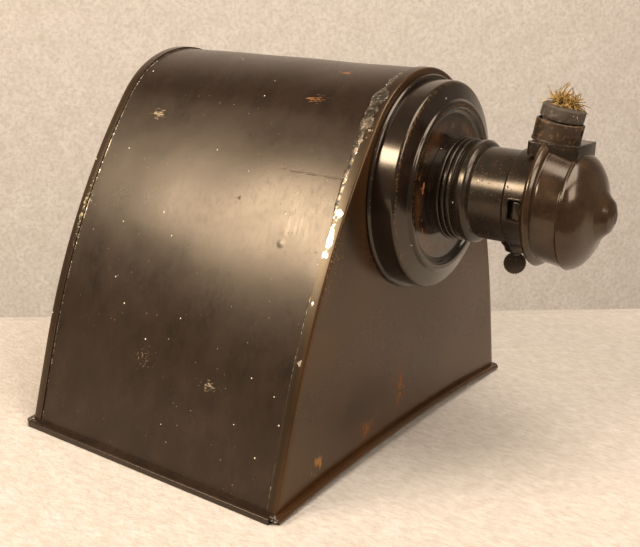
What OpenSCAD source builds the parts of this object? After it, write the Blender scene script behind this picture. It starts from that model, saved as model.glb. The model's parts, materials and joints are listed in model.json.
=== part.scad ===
// Small tin magic lantern. A hooded lamp house stands on the open mouth of its
// base. A turn-key lamp holder reaches in through a pull-off cover on one end
// plate, and a slide stage with a two-draw lens tube sits on the other.
// Millimetres. +X points along the lamp axis to the lamp holder, -Y is the
// front, +Z is up. The origin is under the middle of the whole outline, on the
// surface that the lantern stands on.

/* [Lamp house] */
// Length of the house over its two end plates
house_length = 122; // [100:0.5:150]
// Depth of the house at the base, front to back
base_depth = 177; // [150:0.5:210]
// Height of the house over its rounded crown
house_height = 147; // [125:0.5:175]
// How far the rounded crown stands out round the lamp cover's collar
crown_margin = 2.2; // [1.5:0.1:6]
// Slope of the front and back walls at the base, in degrees
wall_slope = 75.3; // [73:0.1:79]
// Straight stretch of the walls above the base
straight_run = 36.3; // [25:0.1:45]
// Thickness of the tinned sheet of the house
sheet = 0.6; // [0.4:0.05:0.8]
// Width of the end plates' lap over the curved sheet
lap_width = 4; // [3:0.1:6]
// Rise of the arch along the bottom of each end plate
arch_rise = 4.1; // [2.5:0.1:6]
// How far the hems stand out from the base
hem_reach = 2.6; // [2:0.1:4]
// Height of the hems
hem_height = 2.6; // [2:0.1:4]

/* [Lamp cover] */
// Outside radius of the pull-off cover
cover_radius = 38.7; // [36:0.1:40.5]
// Depth of the cover's outer step
cover_depth = 10.1; // [8:0.1:13]
// Thickness of the cover's pressed sheet
cover_sheet = 0.7; // [0.5:0.05:0.9]
// How far the raised bead lies inside the cover's outside
bead_inset = 6.9; // [5.5:0.1:8.5]
// Height of the raised bead over the cover's outer edge
bead_height = 3.1; // [2:0.1:4]
// Width of the raised bead
bead_width = 3; // [2.6:0.1:4]
// Height of the cover's middle disc over its outer edge
disc_height = 1.2; // [0.8:0.1:2.4]
// How far the collar's rim stands out from the cover
collar_stand = 1.8; // [1.2:0.1:2.8]
// Thickness of the collar's rim
collar_rim = 1.7; // [1.5:0.1:3]
// Running clearance between the cover and its collar
cover_clearance = 0.08; // [0.04:0.01:0.1]

/* [Lamp holder] */
// Space for socket, porcelain and shell between the lamp's base and the outside
shell_space = 3.75; // [3.5:0.05:4.5]
// Thickness of the holder's brass sheet
brass = 0.6; // [0.4:0.05:0.7]
// How far the shade rings' ridges stand out from the narrow part of the shell
ring_stand = 2.45; // [2.2:0.05:4]
// Length of the outer shade ring
ring_length = 9.8; // [8.5:0.1:11]
// Length of the swelled collar beside the outer shade ring
swell_length = 6.1; // [5:0.1:8]
// Length of the narrow part of the shell
narrow_length = 13.1; // [12:0.1:16]
// Length of the wide part of the shell
wide_length = 8.6; // [8.2:0.1:11]
// How far the wide part stands out from the narrow part
wide_step = 1.1; // [0.8:0.05:1.3]
// How far the cap's wall stands out from the wide part of the shell
cap_stand = 3.75; // [3.5:0.05:5]
// How far the bead at the cap's mouth stands out from its wall
cap_bead = 1.5; // [1:0.1:2]
// Length of the cap from its mouth to the root of its dome
cap_wall = 12.9; // [11:0.1:15]
// Length of the cap's dome without its nub
dome_length = 9.2; // [8:0.1:13]
// Length of the nub on the dome
nub_length = 3.5; // [2.4:0.1:4.5]
// Radius of the nub's root on the dome
nub_radius = 6.6; // [6:0.1:8]

/* [Switch key] */
// Radius of the key's round leaf
leaf_radius = 4.1; // [3.5:0.1:4.5]
// Thickness of the key's leaf
leaf_thickness = 1.6; // [1.2:0.1:2.2]
// Radius of the key's shaft
key_radius = 1.6; // [1.3:0.1:1.8]
// Running clearance around the key's shaft in its bearing
key_clearance = 0.08; // [0.04:0.01:0.1]
// Turn of the leaf from the lamp axis at rest, in degrees
leaf_turn = 33; // [0:1:90]

/* [Cord outlet] */
// How far the flat-topped turret stands out to each side of the nipple
turret_margin = 1.2; // [0.8:0.1:2]
// How far the turret's flat top is sunk below the top of the cap's wall
turret_sink = 0.1; // [0:0.05:0.4]
// Lean of the outlet away from the lamp house, in degrees
outlet_lean = 4; // [0:0.5:5]
// Outside radius of the outlet's nipple
nipple_radius = 8.3; // [7.6:0.1:8.6]
// Height of the nipple above the turret
nipple_height = 7.2; // [5.5:0.1:9]
// How far the bushing's head stands back from the nipple's outside
bushing_inset = 0.7; // [0.3:0.1:1.2]
// Height of the bushing's head
bushing_height = 5; // [4:0.1:7]
// Tilt of the bushing in the nipple, in degrees
bushing_tilt = 3; // [0:0.5:5]
// Radius of the cut cord
cord_radius = 3.1; // [2.5:0.1:3.6]
// Height of the frayed end above the bushing
fray_height = 9.5; // [6:0.5:10]

/* [Lamp] */
// Radius of the lamp's globe
globe_radius = 24; // [20:0.5:27]
// Length of the lamp from its contact to its tip
lamp_length = 80; // [74:0.5:88]
// Radius of the lamp's screw base
base_radius = 13; // [12.8:0.05:13.05]
// Length of the lamp's screw base
base_length = 24; // [21:0.5:25]

/* [Slide stage and lens] */
// Height of the slides that the stage takes
slide_height = 38; // [34:0.5:42]
// Gap for the slides in the stage
slide_gap = 6.2; // [5.6:0.1:7]
// How far the stage stands out to each side of the lens sleeve's flange
stage_margin = 2.2; // [1.5:0.1:5]
// Thickness of the stage's sheet
stage_sheet = 0.8; // [0.6:0.05:1]
// How far the light's way through the stage is stepped in from the sleeve's bore
gate_lip = 0.7; // [0.3:0.1:2]
// Outside radius of the fixed lens sleeve
sleeve_radius = 17; // [16.8:0.1:18]
// Length of the lens sleeve and of each draw
draw_length = 12; // [10:0.5:13]
// Wall of the lens tubes
tube_wall = 0.8; // [0.6:0.05:0.9]
// Running clearance between one lens tube and the next
tube_clearance = 0.08; // [0.04:0.01:0.1]
// Thickness of the lens at its middle
lens_thickness = 4.4; // [3.6:0.1:5]
// Thickness of the condenser lens at its middle
condenser_thickness = 7; // [5.5:0.1:8]
// How far the condenser lens laps over the edge of the light's way
condenser_lap = 2.5; // [1.5:0.1:3]

/* [Hidden] */
$fn = 96;

// Facets of the house's large arcs, and of small round details
big_fn = 720;
small_fn = 48;
// Steps of a rounded corner in a pressed profile
round_steps = 5;
// A length beyond every size of the house, for cutting
beyond = 400;
// Overlap that joins solids of one piece, the gap between touching pieces, and
// the free space round a piece that passes through a hole
bite = 0.2;
seat_gap = 0.05;
free_gap = 0.4;

// ---- the lamp cover and its collar ----
collar_radius = cover_radius + collar_stand;
spigot_radius = cover_radius - cover_sheet - cover_clearance;
spigot_bore = spigot_radius - 0.9;
bead_radius = cover_radius - bead_inset;

// ---- profile of the house, in its (y, z) plane ----
crown_radius = collar_radius + crown_margin;
crown_mid = [0, house_height - crown_radius];
wall_along = [cos(wall_slope), sin(wall_slope)];
wall_inward = [sin(wall_slope), -cos(wall_slope)];
arc_foot = [-base_depth / 2, 0] + straight_run * wall_along;
foot_to_crown = arc_foot - crown_mid;
arc_radius = (crown_radius * crown_radius - foot_to_crown * foot_to_crown)
    / (2 * (foot_to_crown * wall_inward + crown_radius));
arc_mid = arc_foot + arc_radius * wall_inward;
crown_way = (crown_mid - arc_mid) / norm(crown_mid - arc_mid);
arch_radius = (base_depth * base_depth / 4 + arch_rise * arch_rise) / (2 * arch_rise);
arch_mid = arch_rise - arch_radius;

// ---- stations of the lamp holder along its axis, from the lamp plate's face ----
disc_top = cover_depth + disc_height;
bead_top = cover_depth + bead_height;
ring_end = disc_top + ring_length;
swell_end = ring_end + swell_length;
narrow_end = swell_end + narrow_length;
wide_end = narrow_end + wide_length;
cap_mouth = wide_end + 0.2;
dome_root = cap_mouth + cap_wall;
dome_end = dome_root + dome_length;
holder_reach = dome_end + nub_length;
mouth_start = 5.4;

// ---- radii of the lamp holder, out from the lamp's base ----
shell_radius = base_radius + shell_space;
mouth_radius = shell_radius - 0.75;
ring_bore = mouth_radius + seat_gap;
ring_radius = shell_radius + ring_stand;
swell_radius = shell_radius + 2.2;
wide_radius = shell_radius + wide_step;
cap_radius = wide_radius + cap_stand;
cap_mouth_radius = cap_radius - 0.2;
cap_seat = cap_mouth_radius - 2 * brass - 2 * seat_gap;
key_station = narrow_end + 0.2;
key_boss_radius = key_radius + 2.6;
key_boss_end = wide_radius + 1.9;
key_bore = key_radius + free_gap;
key_start = 6.3;
leaf_mid = key_boss_end + free_gap + leaf_radius;

// ---- the cord outlet on the cap ----
turret_width = 2 * (nipple_radius + turret_margin);
turret_height = cap_radius - turret_sink;
turret_from = cap_mouth - 4;
turret_to = dome_root - 2.2;
outlet_station = cap_mouth + 1.8;
nipple_wall = 1.6;
nipple_bore = nipple_radius - nipple_wall;
screw_height = nipple_height / 2 + 0.8;
bushing_seat = nipple_height + 0.1;

// ---- the lamp and its socket ----
socket_radius = base_radius + 0.35;
socket_wall = 0.4;
liner_wall = 0.45;
liner_radius = shell_radius - brass - seat_gap;
core_radius = liner_radius - liner_wall - 0.2;
contact_top = ring_end + 9.6;
core_to = wide_end + 1.6;
terminal_offset = core_radius - 6.45;
terminal_floor = core_to - 2.4;
lamp_foot = contact_top - 1.4;
lamp_tip = lamp_foot - lamp_length;
globe_mid = lamp_tip + globe_radius;
lamp_neck = lamp_foot - base_length;

// ---- the stage and the lens, out from the lens plate's face ----
stage_depth = 2 * stage_sheet + slide_gap;
stage_tall = slide_height + 0.6 + 2 * stage_sheet;
sleeve_flange = 0.8;
sleeve_bore = sleeve_radius - tube_wall;
gate_radius = sleeve_bore - gate_lip;
condenser_radius = gate_radius + condenser_lap;
stage_width = 2 * (sleeve_radius + sleeve_flange + stage_margin);
middle_radius = sleeve_bore - tube_clearance;
middle_bore = middle_radius - tube_wall;
draw_radius = middle_bore - tube_clearance;
draw_bore = draw_radius - tube_wall;
lens_rim = 1.6;
sleeve_root = stage_depth;
sleeve_end = sleeve_root + draw_length;
middle_start = sleeve_root + 0.3;
middle_end = sleeve_end + lens_rim;
lens_start = middle_start + 0.3;
lens_end = middle_end + lens_rim;
condenser_seat = 1;

// ---- place of the house along X, so that the whole outline is centred ----
house_x = (lens_end - holder_reach) / 2;
lamp_face = house_x + house_length / 2;
lens_face = house_x - house_length / 2;
axis_z = crown_mid[1];

// ============================ shared shapes ============================

// Points of an arc round mid, from one angle to another
function arc(mid, r, from, to, steps = round_steps) =
    [for (i = [0:steps]) let (a = from + (to - from) * i / steps) mid + r * [cos(a), sin(a)]];

// Unit normal to the left of the way from a to b
function left_of(a, b) = let (d = (b - a) / norm(b - a)) [-d[1], d[0]];

// The path moved sideways by t at each point, never across the axis
function beside(path, t) = [
    for (i = [0:len(path) - 1])
        let (
            n1 = left_of(path[max(i - 1, 0)], path[max(i, 1)]),
            n2 = left_of(path[min(i, len(path) - 2)], path[min(i + 1, len(path) - 1)]),
            p = path[i] + t * (n1 + n2) / (1 + n1 * n2)
        )
        [max(p[0], 0), p[1]]
];

// A closed strip of sheet of thickness t to the left of the path
function strip(path, t) =
    let (other = beside(path, t))
    concat(path, [for (i = [len(other) - 1:-1:0]) other[i]]);

// Turns the (y, z) plane of a profile upright and gives it length along +X
module along_x(length) {
    rotate([90, 0, 90]) linear_extrude(length) children();
}

// Puts a revolved shape on the lamp axis, its own +Z pointing out along +X
module on_lamp_axis() {
    translate([lamp_face, 0, axis_z]) rotate([0, 90, 0]) children();
}

// Puts a revolved shape on the lamp axis, its own +Z pointing out along -X
module on_lens_axis() {
    translate([lens_face, 0, axis_z]) rotate([0, -90, 0]) children();
}

// Puts a shape on the switch key's axis, its own +Z pointing down
module on_key_axis() {
    translate([lamp_face + key_station, 0, axis_z]) rotate([180, 0, 0]) children();
}

// Puts a shape on the cord outlet's leaning axis, its own +Z pointing up from
// the middle of the turret's top
module on_outlet_axis() {
    translate([lamp_face + outlet_station, 0, axis_z + turret_height])
        rotate([0, outlet_lean, 0]) children();
}

// Puts a shape on the bushing's axis, which leans further than the outlet
module on_bushing_axis() {
    on_outlet_axis() translate([0, 0, bushing_seat]) rotate([0, bushing_tilt, 0]) children();
}

// A tube from one station to another
module tube(outer, inner, from, to) {
    translate([0, 0, from]) difference() {
        cylinder(r = outer, h = to - from);
        translate([0, 0, -1]) cylinder(r = inner, h = to - from + 2);
    }
}

// ============================ lamp house ============================

// Outline of the house, grown by d, from its lower edge at z = low
module house_outline(d = 0, low = 0) {
    foot = arc_foot - d * wall_inward;
    top = crown_mid + (crown_radius + d) * crown_way;
    low_y = foot[0] - (foot[1] - low) * wall_along[0] / wall_along[1];
    intersection() {
        translate(crown_mid) circle(r = crown_radius + d, $fn = big_fn);
        translate([-beyond, top[1]]) square([2 * beyond, beyond]);
    }
    intersection() {
        translate(arc_mid) circle(r = arc_radius + d, $fn = big_fn);
        translate([-arc_mid[0], arc_mid[1]]) circle(r = arc_radius + d, $fn = big_fn);
        translate([-beyond, foot[1]]) square([2 * beyond, top[1] - foot[1]]);
    }
    polygon([[low_y, low], [-low_y, low], [-foot[0], foot[1]], foot]);
}

// Section of a hem: a bar with a rounded outer edge that reaches out along +x
module hem_section(inward) {
    straight = hem_reach - hem_height / 2;
    translate([-inward, 0]) square([inward + straight, hem_height]);
    translate([straight, hem_height / 2]) circle(d = hem_height, $fn = small_fn);
}

// Curved sheet over front, crown and back, with a hem along each lower edge
module hood_sheet() {
    length = house_length - 2 * sheet;
    color("#2b2521") translate([house_x - length / 2, 0, 0]) difference() {
        union() {
            along_x(length) house_outline(-sheet);
            for (side = [0, 1]) mirror([0, side, 0]) translate([0, base_depth / 2, 0])
                along_x(length) hem_section(3 * sheet);
        }
        translate([-1, 0, 0]) along_x(length + 2) house_outline(-2 * sheet, low = -1);
    }
}

// Hem that follows the arch under an end plate, standing out along +X
module arch_hem() {
    half_angle = asin(base_depth / 2 / arch_radius);
    translate([0, 0, arch_mid]) rotate([0, 90, 0]) rotate([0, 0, 180 - half_angle])
        rotate_extrude(angle = 2 * half_angle, $fn = 3 * big_fn)
            translate([arch_radius, 0]) mirror([1, -1]) hem_section(bite);
}

// End plate with its lap over the sheet, its arched foot and its hem; outer face at x = 0
module end_plate(hole_radius) {
    difference() {
        union() {
            translate([-sheet, 0, 0]) along_x(sheet) house_outline();
            translate([-lap_width, 0, 0]) along_x(lap_width) difference() {
                house_outline();
                house_outline(-sheet, low = -1);
                translate([-beyond, -beyond]) square([2 * beyond, beyond + hem_height + seat_gap]);
            }
            arch_hem();
        }
        translate([-beyond, 0, arch_mid]) rotate([0, 90, 0])
            cylinder(r = arch_radius, h = 2 * beyond, $fn = 3 * big_fn);
        translate([-1 - sheet, 0, axis_z]) rotate([0, 90, 0]) cylinder(r = hole_radius, h = sheet + 2);
    }
}

// End plate that carries the lamp cover
module end_plate_lamp() {
    color("#3a2f26") translate([lamp_face, 0, 0]) end_plate(spigot_bore);
}

// End plate that carries the slide stage
module end_plate_lens() {
    color("#3a2f26") translate([lens_face, 0, 0]) mirror([1, 0, 0]) end_plate(gate_radius + 1);
}

// ============================ lamp cover ============================

// Collar on the lamp plate that the cover pushes over
module lamp_collar() {
    spigot_end = cover_depth - cover_sheet - 1;
    round = 0.6;
    color("#2b2521") on_lamp_axis() rotate_extrude() polygon(concat(
        [[spigot_bore, 0], [collar_radius - round, 0]],
        arc([collar_radius - round, round], round, -90, 0, 3),
        arc([collar_radius - round, collar_rim - round], round, 0, 90, 3),
        [[spigot_radius, collar_rim], [spigot_radius, spigot_end], [spigot_bore, spigot_end]]
    ));
}

// Pull-off cover, pressed with an outer step, a raised bead and a middle disc
module lamp_cover() {
    corner = 1.2;
    cone = 70;
    bead_round = bead_width / 2;
    path = concat(
        [[cover_radius, collar_rim + seat_gap]],
        arc([cover_radius - corner, cover_depth - corner], corner, 0, cone),
        [[bead_radius + 0.5, bead_top - 1.1]],
        arc([bead_radius - bead_round, bead_top - bead_round], bead_round, 25, 155, 6),
        [[bead_radius - bead_width - 0.6, disc_top + 0.4], [bead_radius - bead_width - 1.2, disc_top]],
        [[mouth_radius + 2 * seat_gap, disc_top]]
    );
    color("#33291f") on_lamp_axis() rotate_extrude() polygon(strip(path, cover_sheet));
}

// Thickness of the reflector's silvered sheet
reflector_sheet = 0.5;

// Round reflector inside the cover, centred on the lamp's filament
module reflector() {
    flat_z = disc_top - cover_sheet - seat_gap;
    flat_radius = ring_radius + 1.3;
    rim_radius = spigot_radius - 3.4;
    bowl = norm([flat_radius, flat_z - globe_mid]);
    from = atan2(flat_z - globe_mid, flat_radius);
    to = acos(rim_radius / bowl);
    path = concat(
        [[mouth_radius + 2 * seat_gap, flat_z]],
        arc([0, globe_mid], bowl, from, to, 12),
        [[rim_radius + 1, globe_mid + bowl * sin(to)]]
    );
    color("#d9d5c8") on_lamp_axis() rotate_extrude() polygon(strip(path, -reflector_sheet));
}

// ============================ lamp holder ============================

// Outer shade ring, with three rolled ridges, screwed up to the cover
module shade_ring() {
    ridge = 0.7;
    pitch = 2;
    taper = 0.25;
    first = ring_end - 2 * pitch - ridge - 0.2;
    valley = ring_radius - 1.6;
    path = concat(
        [[ring_bore, disc_top], [valley, disc_top], [valley, first - ridge]],
        [for (i = [0:2]) each arc([ring_radius - ridge - i * taper, first + i * pitch], ridge, -75, 75, 4)],
        [[valley, ring_end], [ring_bore, ring_end]]
    );
    color("#2e2925") on_lamp_axis() rotate_extrude() polygon(path);
}

// Inner shade ring, which clamps the reflector and the cover from inside
module shade_ring_inner() {
    top = disc_top - cover_sheet - 2 * seat_gap - reflector_sheet;
    bottom = mouth_start + 0.6;
    round = 0.8;
    path = concat(
        [[ring_bore, bottom]],
        arc([ring_radius - round, bottom + round], round, -90, 0, 3),
        arc([ring_radius - round, top - round], round, 0, 90, 3),
        [[ring_bore, top]]
    );
    color("#b08d4a") on_lamp_axis() rotate_extrude() polygon(path);
}

// Brass shell: threaded mouth, swelled collar, narrow part, wide part and rim
module holder_shell() {
    swell = swell_radius - 1.6;
    step = 0.5;
    flare = 1;
    path = concat(
        [[mouth_radius, mouth_start], [mouth_radius, ring_end]],
        arc([swell, ring_end + 2.2], swell_radius - swell + 0.6, -100, -20, 3),
        arc([swell, swell_end - 2.6], swell_radius - swell, 0, 60, 4),
        [[shell_radius + 0.8, swell_end], [shell_radius, swell_end + 0.3]],
        [[shell_radius, narrow_end - step], [wide_radius, narrow_end + step]],
        [[wide_radius, wide_end - flare]],
        [[wide_radius + flare, wide_end], [cap_seat - 0.6, wide_end], [cap_seat, wide_end + 0.6]],
        [[cap_seat, wide_end + 4.4]]
    );
    color("#2e2925") difference() {
        union() {
            on_lamp_axis() rotate_extrude() polygon(strip(path, brass));
            key_boss();
            latch_lip();
        }
        on_key_axis() translate([0, 0, wide_radius - 4]) cylinder(r = key_bore, h = 12, $fn = small_fn);
        on_outlet_axis() translate([0, 0, -5]) cylinder(r = cord_radius + 1, h = 5, $fn = small_fn);
        latch_window(0);
    }
}

// Raised socket for the switch key on the underside of the shell
module key_boss() {
    foot = shell_radius - 2;
    wide = key_boss_radius + 1.6;
    slim = key_boss_radius - 0.3;
    difference() {
        on_key_axis() translate([0, 0, foot])
            cylinder(r1 = wide, r2 = slim, h = key_boss_end - foot, $fn = small_fn);
        on_lamp_axis() translate([0, 0, swell_end])
            cylinder(r = shell_radius - brass / 2, h = narrow_length + 0.5);
        on_lamp_axis() translate([0, 0, narrow_end])
            cylinder(r = wide_radius - brass / 2, h = wide_length);
    }
}

// Sizes of the latch window in the front of the wide part of the shell
window_tall = 7.6;
window_from = narrow_end + 2.2;
window_to = wide_end - 1.2;
window_drop = 1.2;

// The space of the latch window, grown by g
module latch_window(g) {
    translate([lamp_face + window_from - g, -beyond, axis_z - window_drop - window_tall / 2 - g])
        cube([window_to - window_from + 2 * g, beyond, window_tall + 2 * g]);
}

// Raised lip round the latch window
module latch_lip() {
    intersection() {
        on_lamp_axis() tube(wide_radius + 0.55, wide_radius - brass / 2, narrow_end + 0.3, wide_end - 0.5);
        latch_window(0.8);
    }
}

// Fibre liner inside the narrow part of the shell
module shell_liner() {
    color("#4a3b2a") difference() {
        on_lamp_axis() tube(liner_radius, liner_radius - liner_wall, swell_end + 0.4, narrow_end - 0.6);
        on_key_axis() translate([0, 0, shell_radius - 4]) cylinder(r = key_bore, h = 8, $fn = small_fn);
    }
}

// Porcelain body that carries the contacts and the switch
module holder_body() {
    pocket = socket_radius + socket_wall + seat_gap;
    color("#e9e4d6") difference() {
        union() {
            on_lamp_axis() tube(core_radius, pocket, contact_top - 9, contact_top + bite);
            on_lamp_axis() translate([0, 0, contact_top])
                cylinder(r = core_radius, h = core_to - contact_top);
        }
        on_key_axis() translate([0, 0, key_start - 0.3])
            cylinder(r = key_radius + key_clearance, h = core_radius, $fn = small_fn);
        for (side = [-1, 1]) on_lamp_axis() translate([0, side * terminal_offset, terminal_floor])
            cylinder(r = 3.4, h = 5, $fn = small_fn);
        on_lamp_axis() translate([-core_radius - 1, -2.6, core_to - 6.1]) cube([2.5, 5.2, 10]);
    }
}

// Brass screw shell that takes the lamp's base
module screw_shell() {
    color("#b08d4a") on_lamp_axis()
        tube(socket_radius + socket_wall, socket_radius, mouth_start + 1, contact_top - seat_gap);
}

// Sprung centre contact at the bottom of the socket
module centre_contact() {
    deep = 1.2;
    color("#c39a52") on_lamp_axis() translate([0, 0, contact_top - deep]) difference() {
        cylinder(r = 4.4, h = deep - seat_gap, $fn = small_fn);
        translate([0, 0, 0.5]) cylinder(r = 3.6, h = 1, $fn = small_fn);
    }
}

// Contact strap from the screw shell's side to its terminal
module side_contact() {
    color("#c39a52") on_lamp_axis() translate([-core_radius + 0.65, -2.5, core_to - 6]) cube([0.8, 5, 7]);
}

// Two terminal screws on top of the porcelain
module terminal_screws() {
    color("#c39a52") for (side = [-1, 1])
        on_lamp_axis() translate([0, side * terminal_offset, terminal_floor]) difference() {
            union() {
                cylinder(r = 1.4, h = 3, $fn = small_fn);
                translate([0, 0, 1.4]) cylinder(r = 2.8, h = 1.8, $fn = small_fn);
            }
            translate([-4, -0.4, 2.5]) cube([8, 0.8, 2]);
        }
}

// ============================ switch key ============================

// Round shaft of the turn key, running in the porcelain
module key_shaft() {
    deep = 1.2;
    color("#2e2925") on_key_axis() translate([0, 0, key_start])
        cylinder(r = key_radius, h = leaf_mid - leaf_radius + deep - key_start, $fn = small_fn);
}

// Flat round leaf with a serrated edge, gripped between finger and thumb
module key_leaf() {
    teeth = 26;
    notch = 0.35;
    color("#2e2925") on_key_axis() translate([0, 0, leaf_mid]) rotate([0, 0, -leaf_turn]) rotate([90, 0, 0])
        translate([0, 0, -leaf_thickness / 2]) difference() {
            cylinder(r = leaf_radius, h = leaf_thickness, $fn = small_fn);
            for (i = [0:teeth - 1]) rotate([0, 0, 360 * i / teeth]) translate([leaf_radius + 0.1, 0, -1])
                cylinder(r = notch, h = leaf_thickness + 2, $fn = 16);
            rotate([-90, 0, 0]) translate([0, -leaf_thickness / 2, -leaf_radius - 1])
                cylinder(r = key_radius, h = 2.2, $fn = small_fn);
        }
}

// ============================ cap and cord outlet ============================

// Path of the cap's outside from its mouth to its nub
function cap_path() =
    let (
        bead = cap_radius + cap_bead,
        fullness = 0.85,
        crease = 0.2,
        shrink = 1 - pow(nub_radius / cap_radius, 2)
    )
    concat(
        [[bead - 1, cap_mouth]],
        arc([bead - 1.3, cap_mouth + 1.7], 1.3, -60, 70, 5),
        [[cap_mouth_radius, cap_mouth + 3.9]],
        [[cap_radius, dome_root - 0.9], [cap_radius + crease, dome_root - 0.5], [cap_radius, dome_root]],
        [for (i = [1:10]) let (drop = shrink * i / 10)
            [cap_radius * sqrt(1 - drop), dome_root + dome_length * pow(drop / shrink, 1 / fullness)]],
        [for (a = [30:15:75]) [nub_radius * cos(a) * 0.98, dome_end + nub_length * sin(a)]]
    );

// Brass cap with its dome and the hollow turret of the cord outlet
module holder_cap() {
    inside = beside(cap_path(), brass);
    before = cap_mouth - 1;
    color("#3b2f22") difference() {
        union() {
            on_lamp_axis() rotate_extrude()
                polygon(concat(cap_path(), [[0, holder_reach], [0, cap_mouth]]));
            turret();
        }
        on_lamp_axis() rotate_extrude()
            polygon(concat(inside, [[0, holder_reach - 1], [0, before], [inside[0][0], before]]));
        on_lamp_axis() translate([0, 0, narrow_end])
            cylinder(r = wide_radius + 1.3, h = cap_mouth - narrow_end);
        translate([0, -turret_width / 2, axis_z + turret_height])
            cube([lamp_face + turret_to, turret_width, beyond]);
        turret_room();
    }
}

// Flat-topped turret that the nipple stands on, before it is hollowed
module turret() {
    length = turret_to - turret_from;
    half = turret_width / 2;
    nose = 5;
    translate([lamp_face + turret_from, 0, axis_z]) linear_extrude(turret_height) polygon([
        [0, 2], [0, -2], [nose, -half], [length, -half + 0.6], [length, half - 0.6], [nose, half]
    ]);
}

// The hollow of the turret, open to the cap and to the nipple
module turret_room() {
    on_outlet_axis() translate([0, 0, -turret_height]) cylinder(r = nipple_bore, h = turret_height + 1);
}

// Fibre liner inside the cap
module cap_liner() {
    outer = cap_mouth_radius - brass - 0.3;
    color("#4a3b2a") difference() {
        on_lamp_axis() tube(outer, outer - 0.6, cap_mouth + 6, dome_root - 1);
        on_outlet_axis() translate([0, 0, -turret_height])
            cylinder(r = nipple_bore + 0.1, h = 2 * turret_height);
    }
}

// Snap latch on the cap: a tongue whose bump shows in the shell's window
module cap_latch() {
    outer = shell_radius - 0.15;
    inner = outer - brass;
    play = 0.8;
    color("#2e2925") intersection() {
        on_lamp_axis() {
            tube(outer, inner, narrow_end + 0.9, cap_mouth + 5.4);
            tube(cap_radius - brass - 0.35, inner, cap_mouth + 5, cap_mouth + 5.6);
            tube(wide_radius + 0.1, inner, window_from + 1, window_to - 1);
        }
        translate([lamp_face, -beyond, axis_z - window_drop - window_tall / 2 + play])
            cube([beyond, beyond, window_tall - 2 * play]);
    }
}

// Threaded nipple on the turret, with a hole for the set screw
module cord_nipple() {
    color("#2e2925") difference() {
        on_outlet_axis() difference() {
            translate([0, 0, -2]) cylinder(r = nipple_radius, h = nipple_height + 2);
            translate([0, 0, -3]) cylinder(r = nipple_bore, h = nipple_height + 5);
            translate([0, 0, nipple_height - 1.3]) cylinder(r = nipple_radius - 0.8, h = 3);
        }
        translate([lamp_face, -beyond / 2, axis_z]) cube([beyond, beyond, turret_height]);
        on_outlet_axis() translate([0, 0, screw_height]) rotate([0, 90, 0])
            cylinder(r = 1.3, h = 2 * nipple_radius, $fn = small_fn);
    }
}

// Headless set screw in the side of the nipple
module set_screw() {
    color("#8a8172") on_outlet_axis() translate([nipple_radius - 1.9, 0, screw_height])
        rotate([0, 90, 0]) difference() {
            cylinder(r = 1.25, h = 1.4, $fn = small_fn);
            translate([-2, -0.25, 0.9]) cube([4, 0.5, 1]);
        }
}

// Fibre bushing that sits askew in the nipple's mouth
module cord_bushing() {
    neck = nipple_bore - free_gap;
    head = nipple_radius - bushing_inset;
    path = concat(
        [[cord_radius + 0.1, -3.5], [neck, -3.5], [neck, 0.5], [head - 0.7, 0.5]],
        arc([head - 0.8, 1.4], 0.8, -60, 20, 3),
        arc([head - 2.2, bushing_height - 1.8], 2, 15, 90, 5),
        [[cord_radius + 0.1, bushing_height + 0.2]]
    );
    color("#4b4845") on_bushing_axis() rotate_extrude() polygon(path);
}

// Cut end of the cloth-covered cord, frayed above the bushing
module cord_stub() {
    inside = nipple_height + 2;
    fray_radius = 0.55 * fray_height;
    color("#c9ae6c") on_bushing_axis() {
        translate([0, 0, -inside]) cylinder(r = cord_radius, h = inside + bushing_height + 1, $fn = small_fn);
        intersection() {
            translate([0, 0, bushing_height + fray_height - fray_radius])
                sphere(r = fray_radius, $fn = small_fn);
            translate([0, 0, bushing_height + 0.25]) cylinder(r = 2 * fray_radius, h = fray_height);
        }
    }
}

// ============================ lamp ============================

// Blown glass globe with its neck
module lamp_globe() {
    neck = base_radius - 0.45;
    join = acos((neck + 1.4) / globe_radius);
    path = concat(
        [[neck, lamp_neck + 6], [neck, lamp_neck - 1]],
        arc([0, globe_mid], globe_radius, join, 0, 8),
        arc([0, globe_mid], globe_radius, -6, -90, 14)
    );
    color("#cfd6d2", 0.4) on_lamp_axis() rotate_extrude() polygon(strip(path, -0.6));
}

// Brass screw base of the lamp
module lamp_base() {
    path = [[base_radius, lamp_neck], [base_radius, lamp_foot - 3], [base_radius - 6.5, lamp_foot - 0.8]];
    color("#c2a05a") on_lamp_axis() rotate_extrude() polygon(strip(path, 0.35));
}

// Solder contact in its glass insulator under the lamp's base
module lamp_contact() {
    color("#9a9a94") on_lamp_axis() {
        translate([0, 0, lamp_foot - 2]) cylinder(r = base_radius - 6.8, h = 1.4);
        translate([0, 0, lamp_foot - 1]) cylinder(r = 3, h = 1 - seat_gap, $fn = small_fn);
    }
}

// Glass stem that carries the filament's supports
module lamp_stem() {
    color("#cfd6d2", 0.5) on_lamp_axis() {
        translate([0, 0, lamp_neck - 2]) cylinder(r1 = 4.5, r2 = base_radius - 1.4, h = 7);
        translate([0, 0, globe_mid + 9.5])
            cylinder(r = 2.2, h = lamp_neck - globe_mid - 11.3, $fn = small_fn);
    }
}

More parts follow.
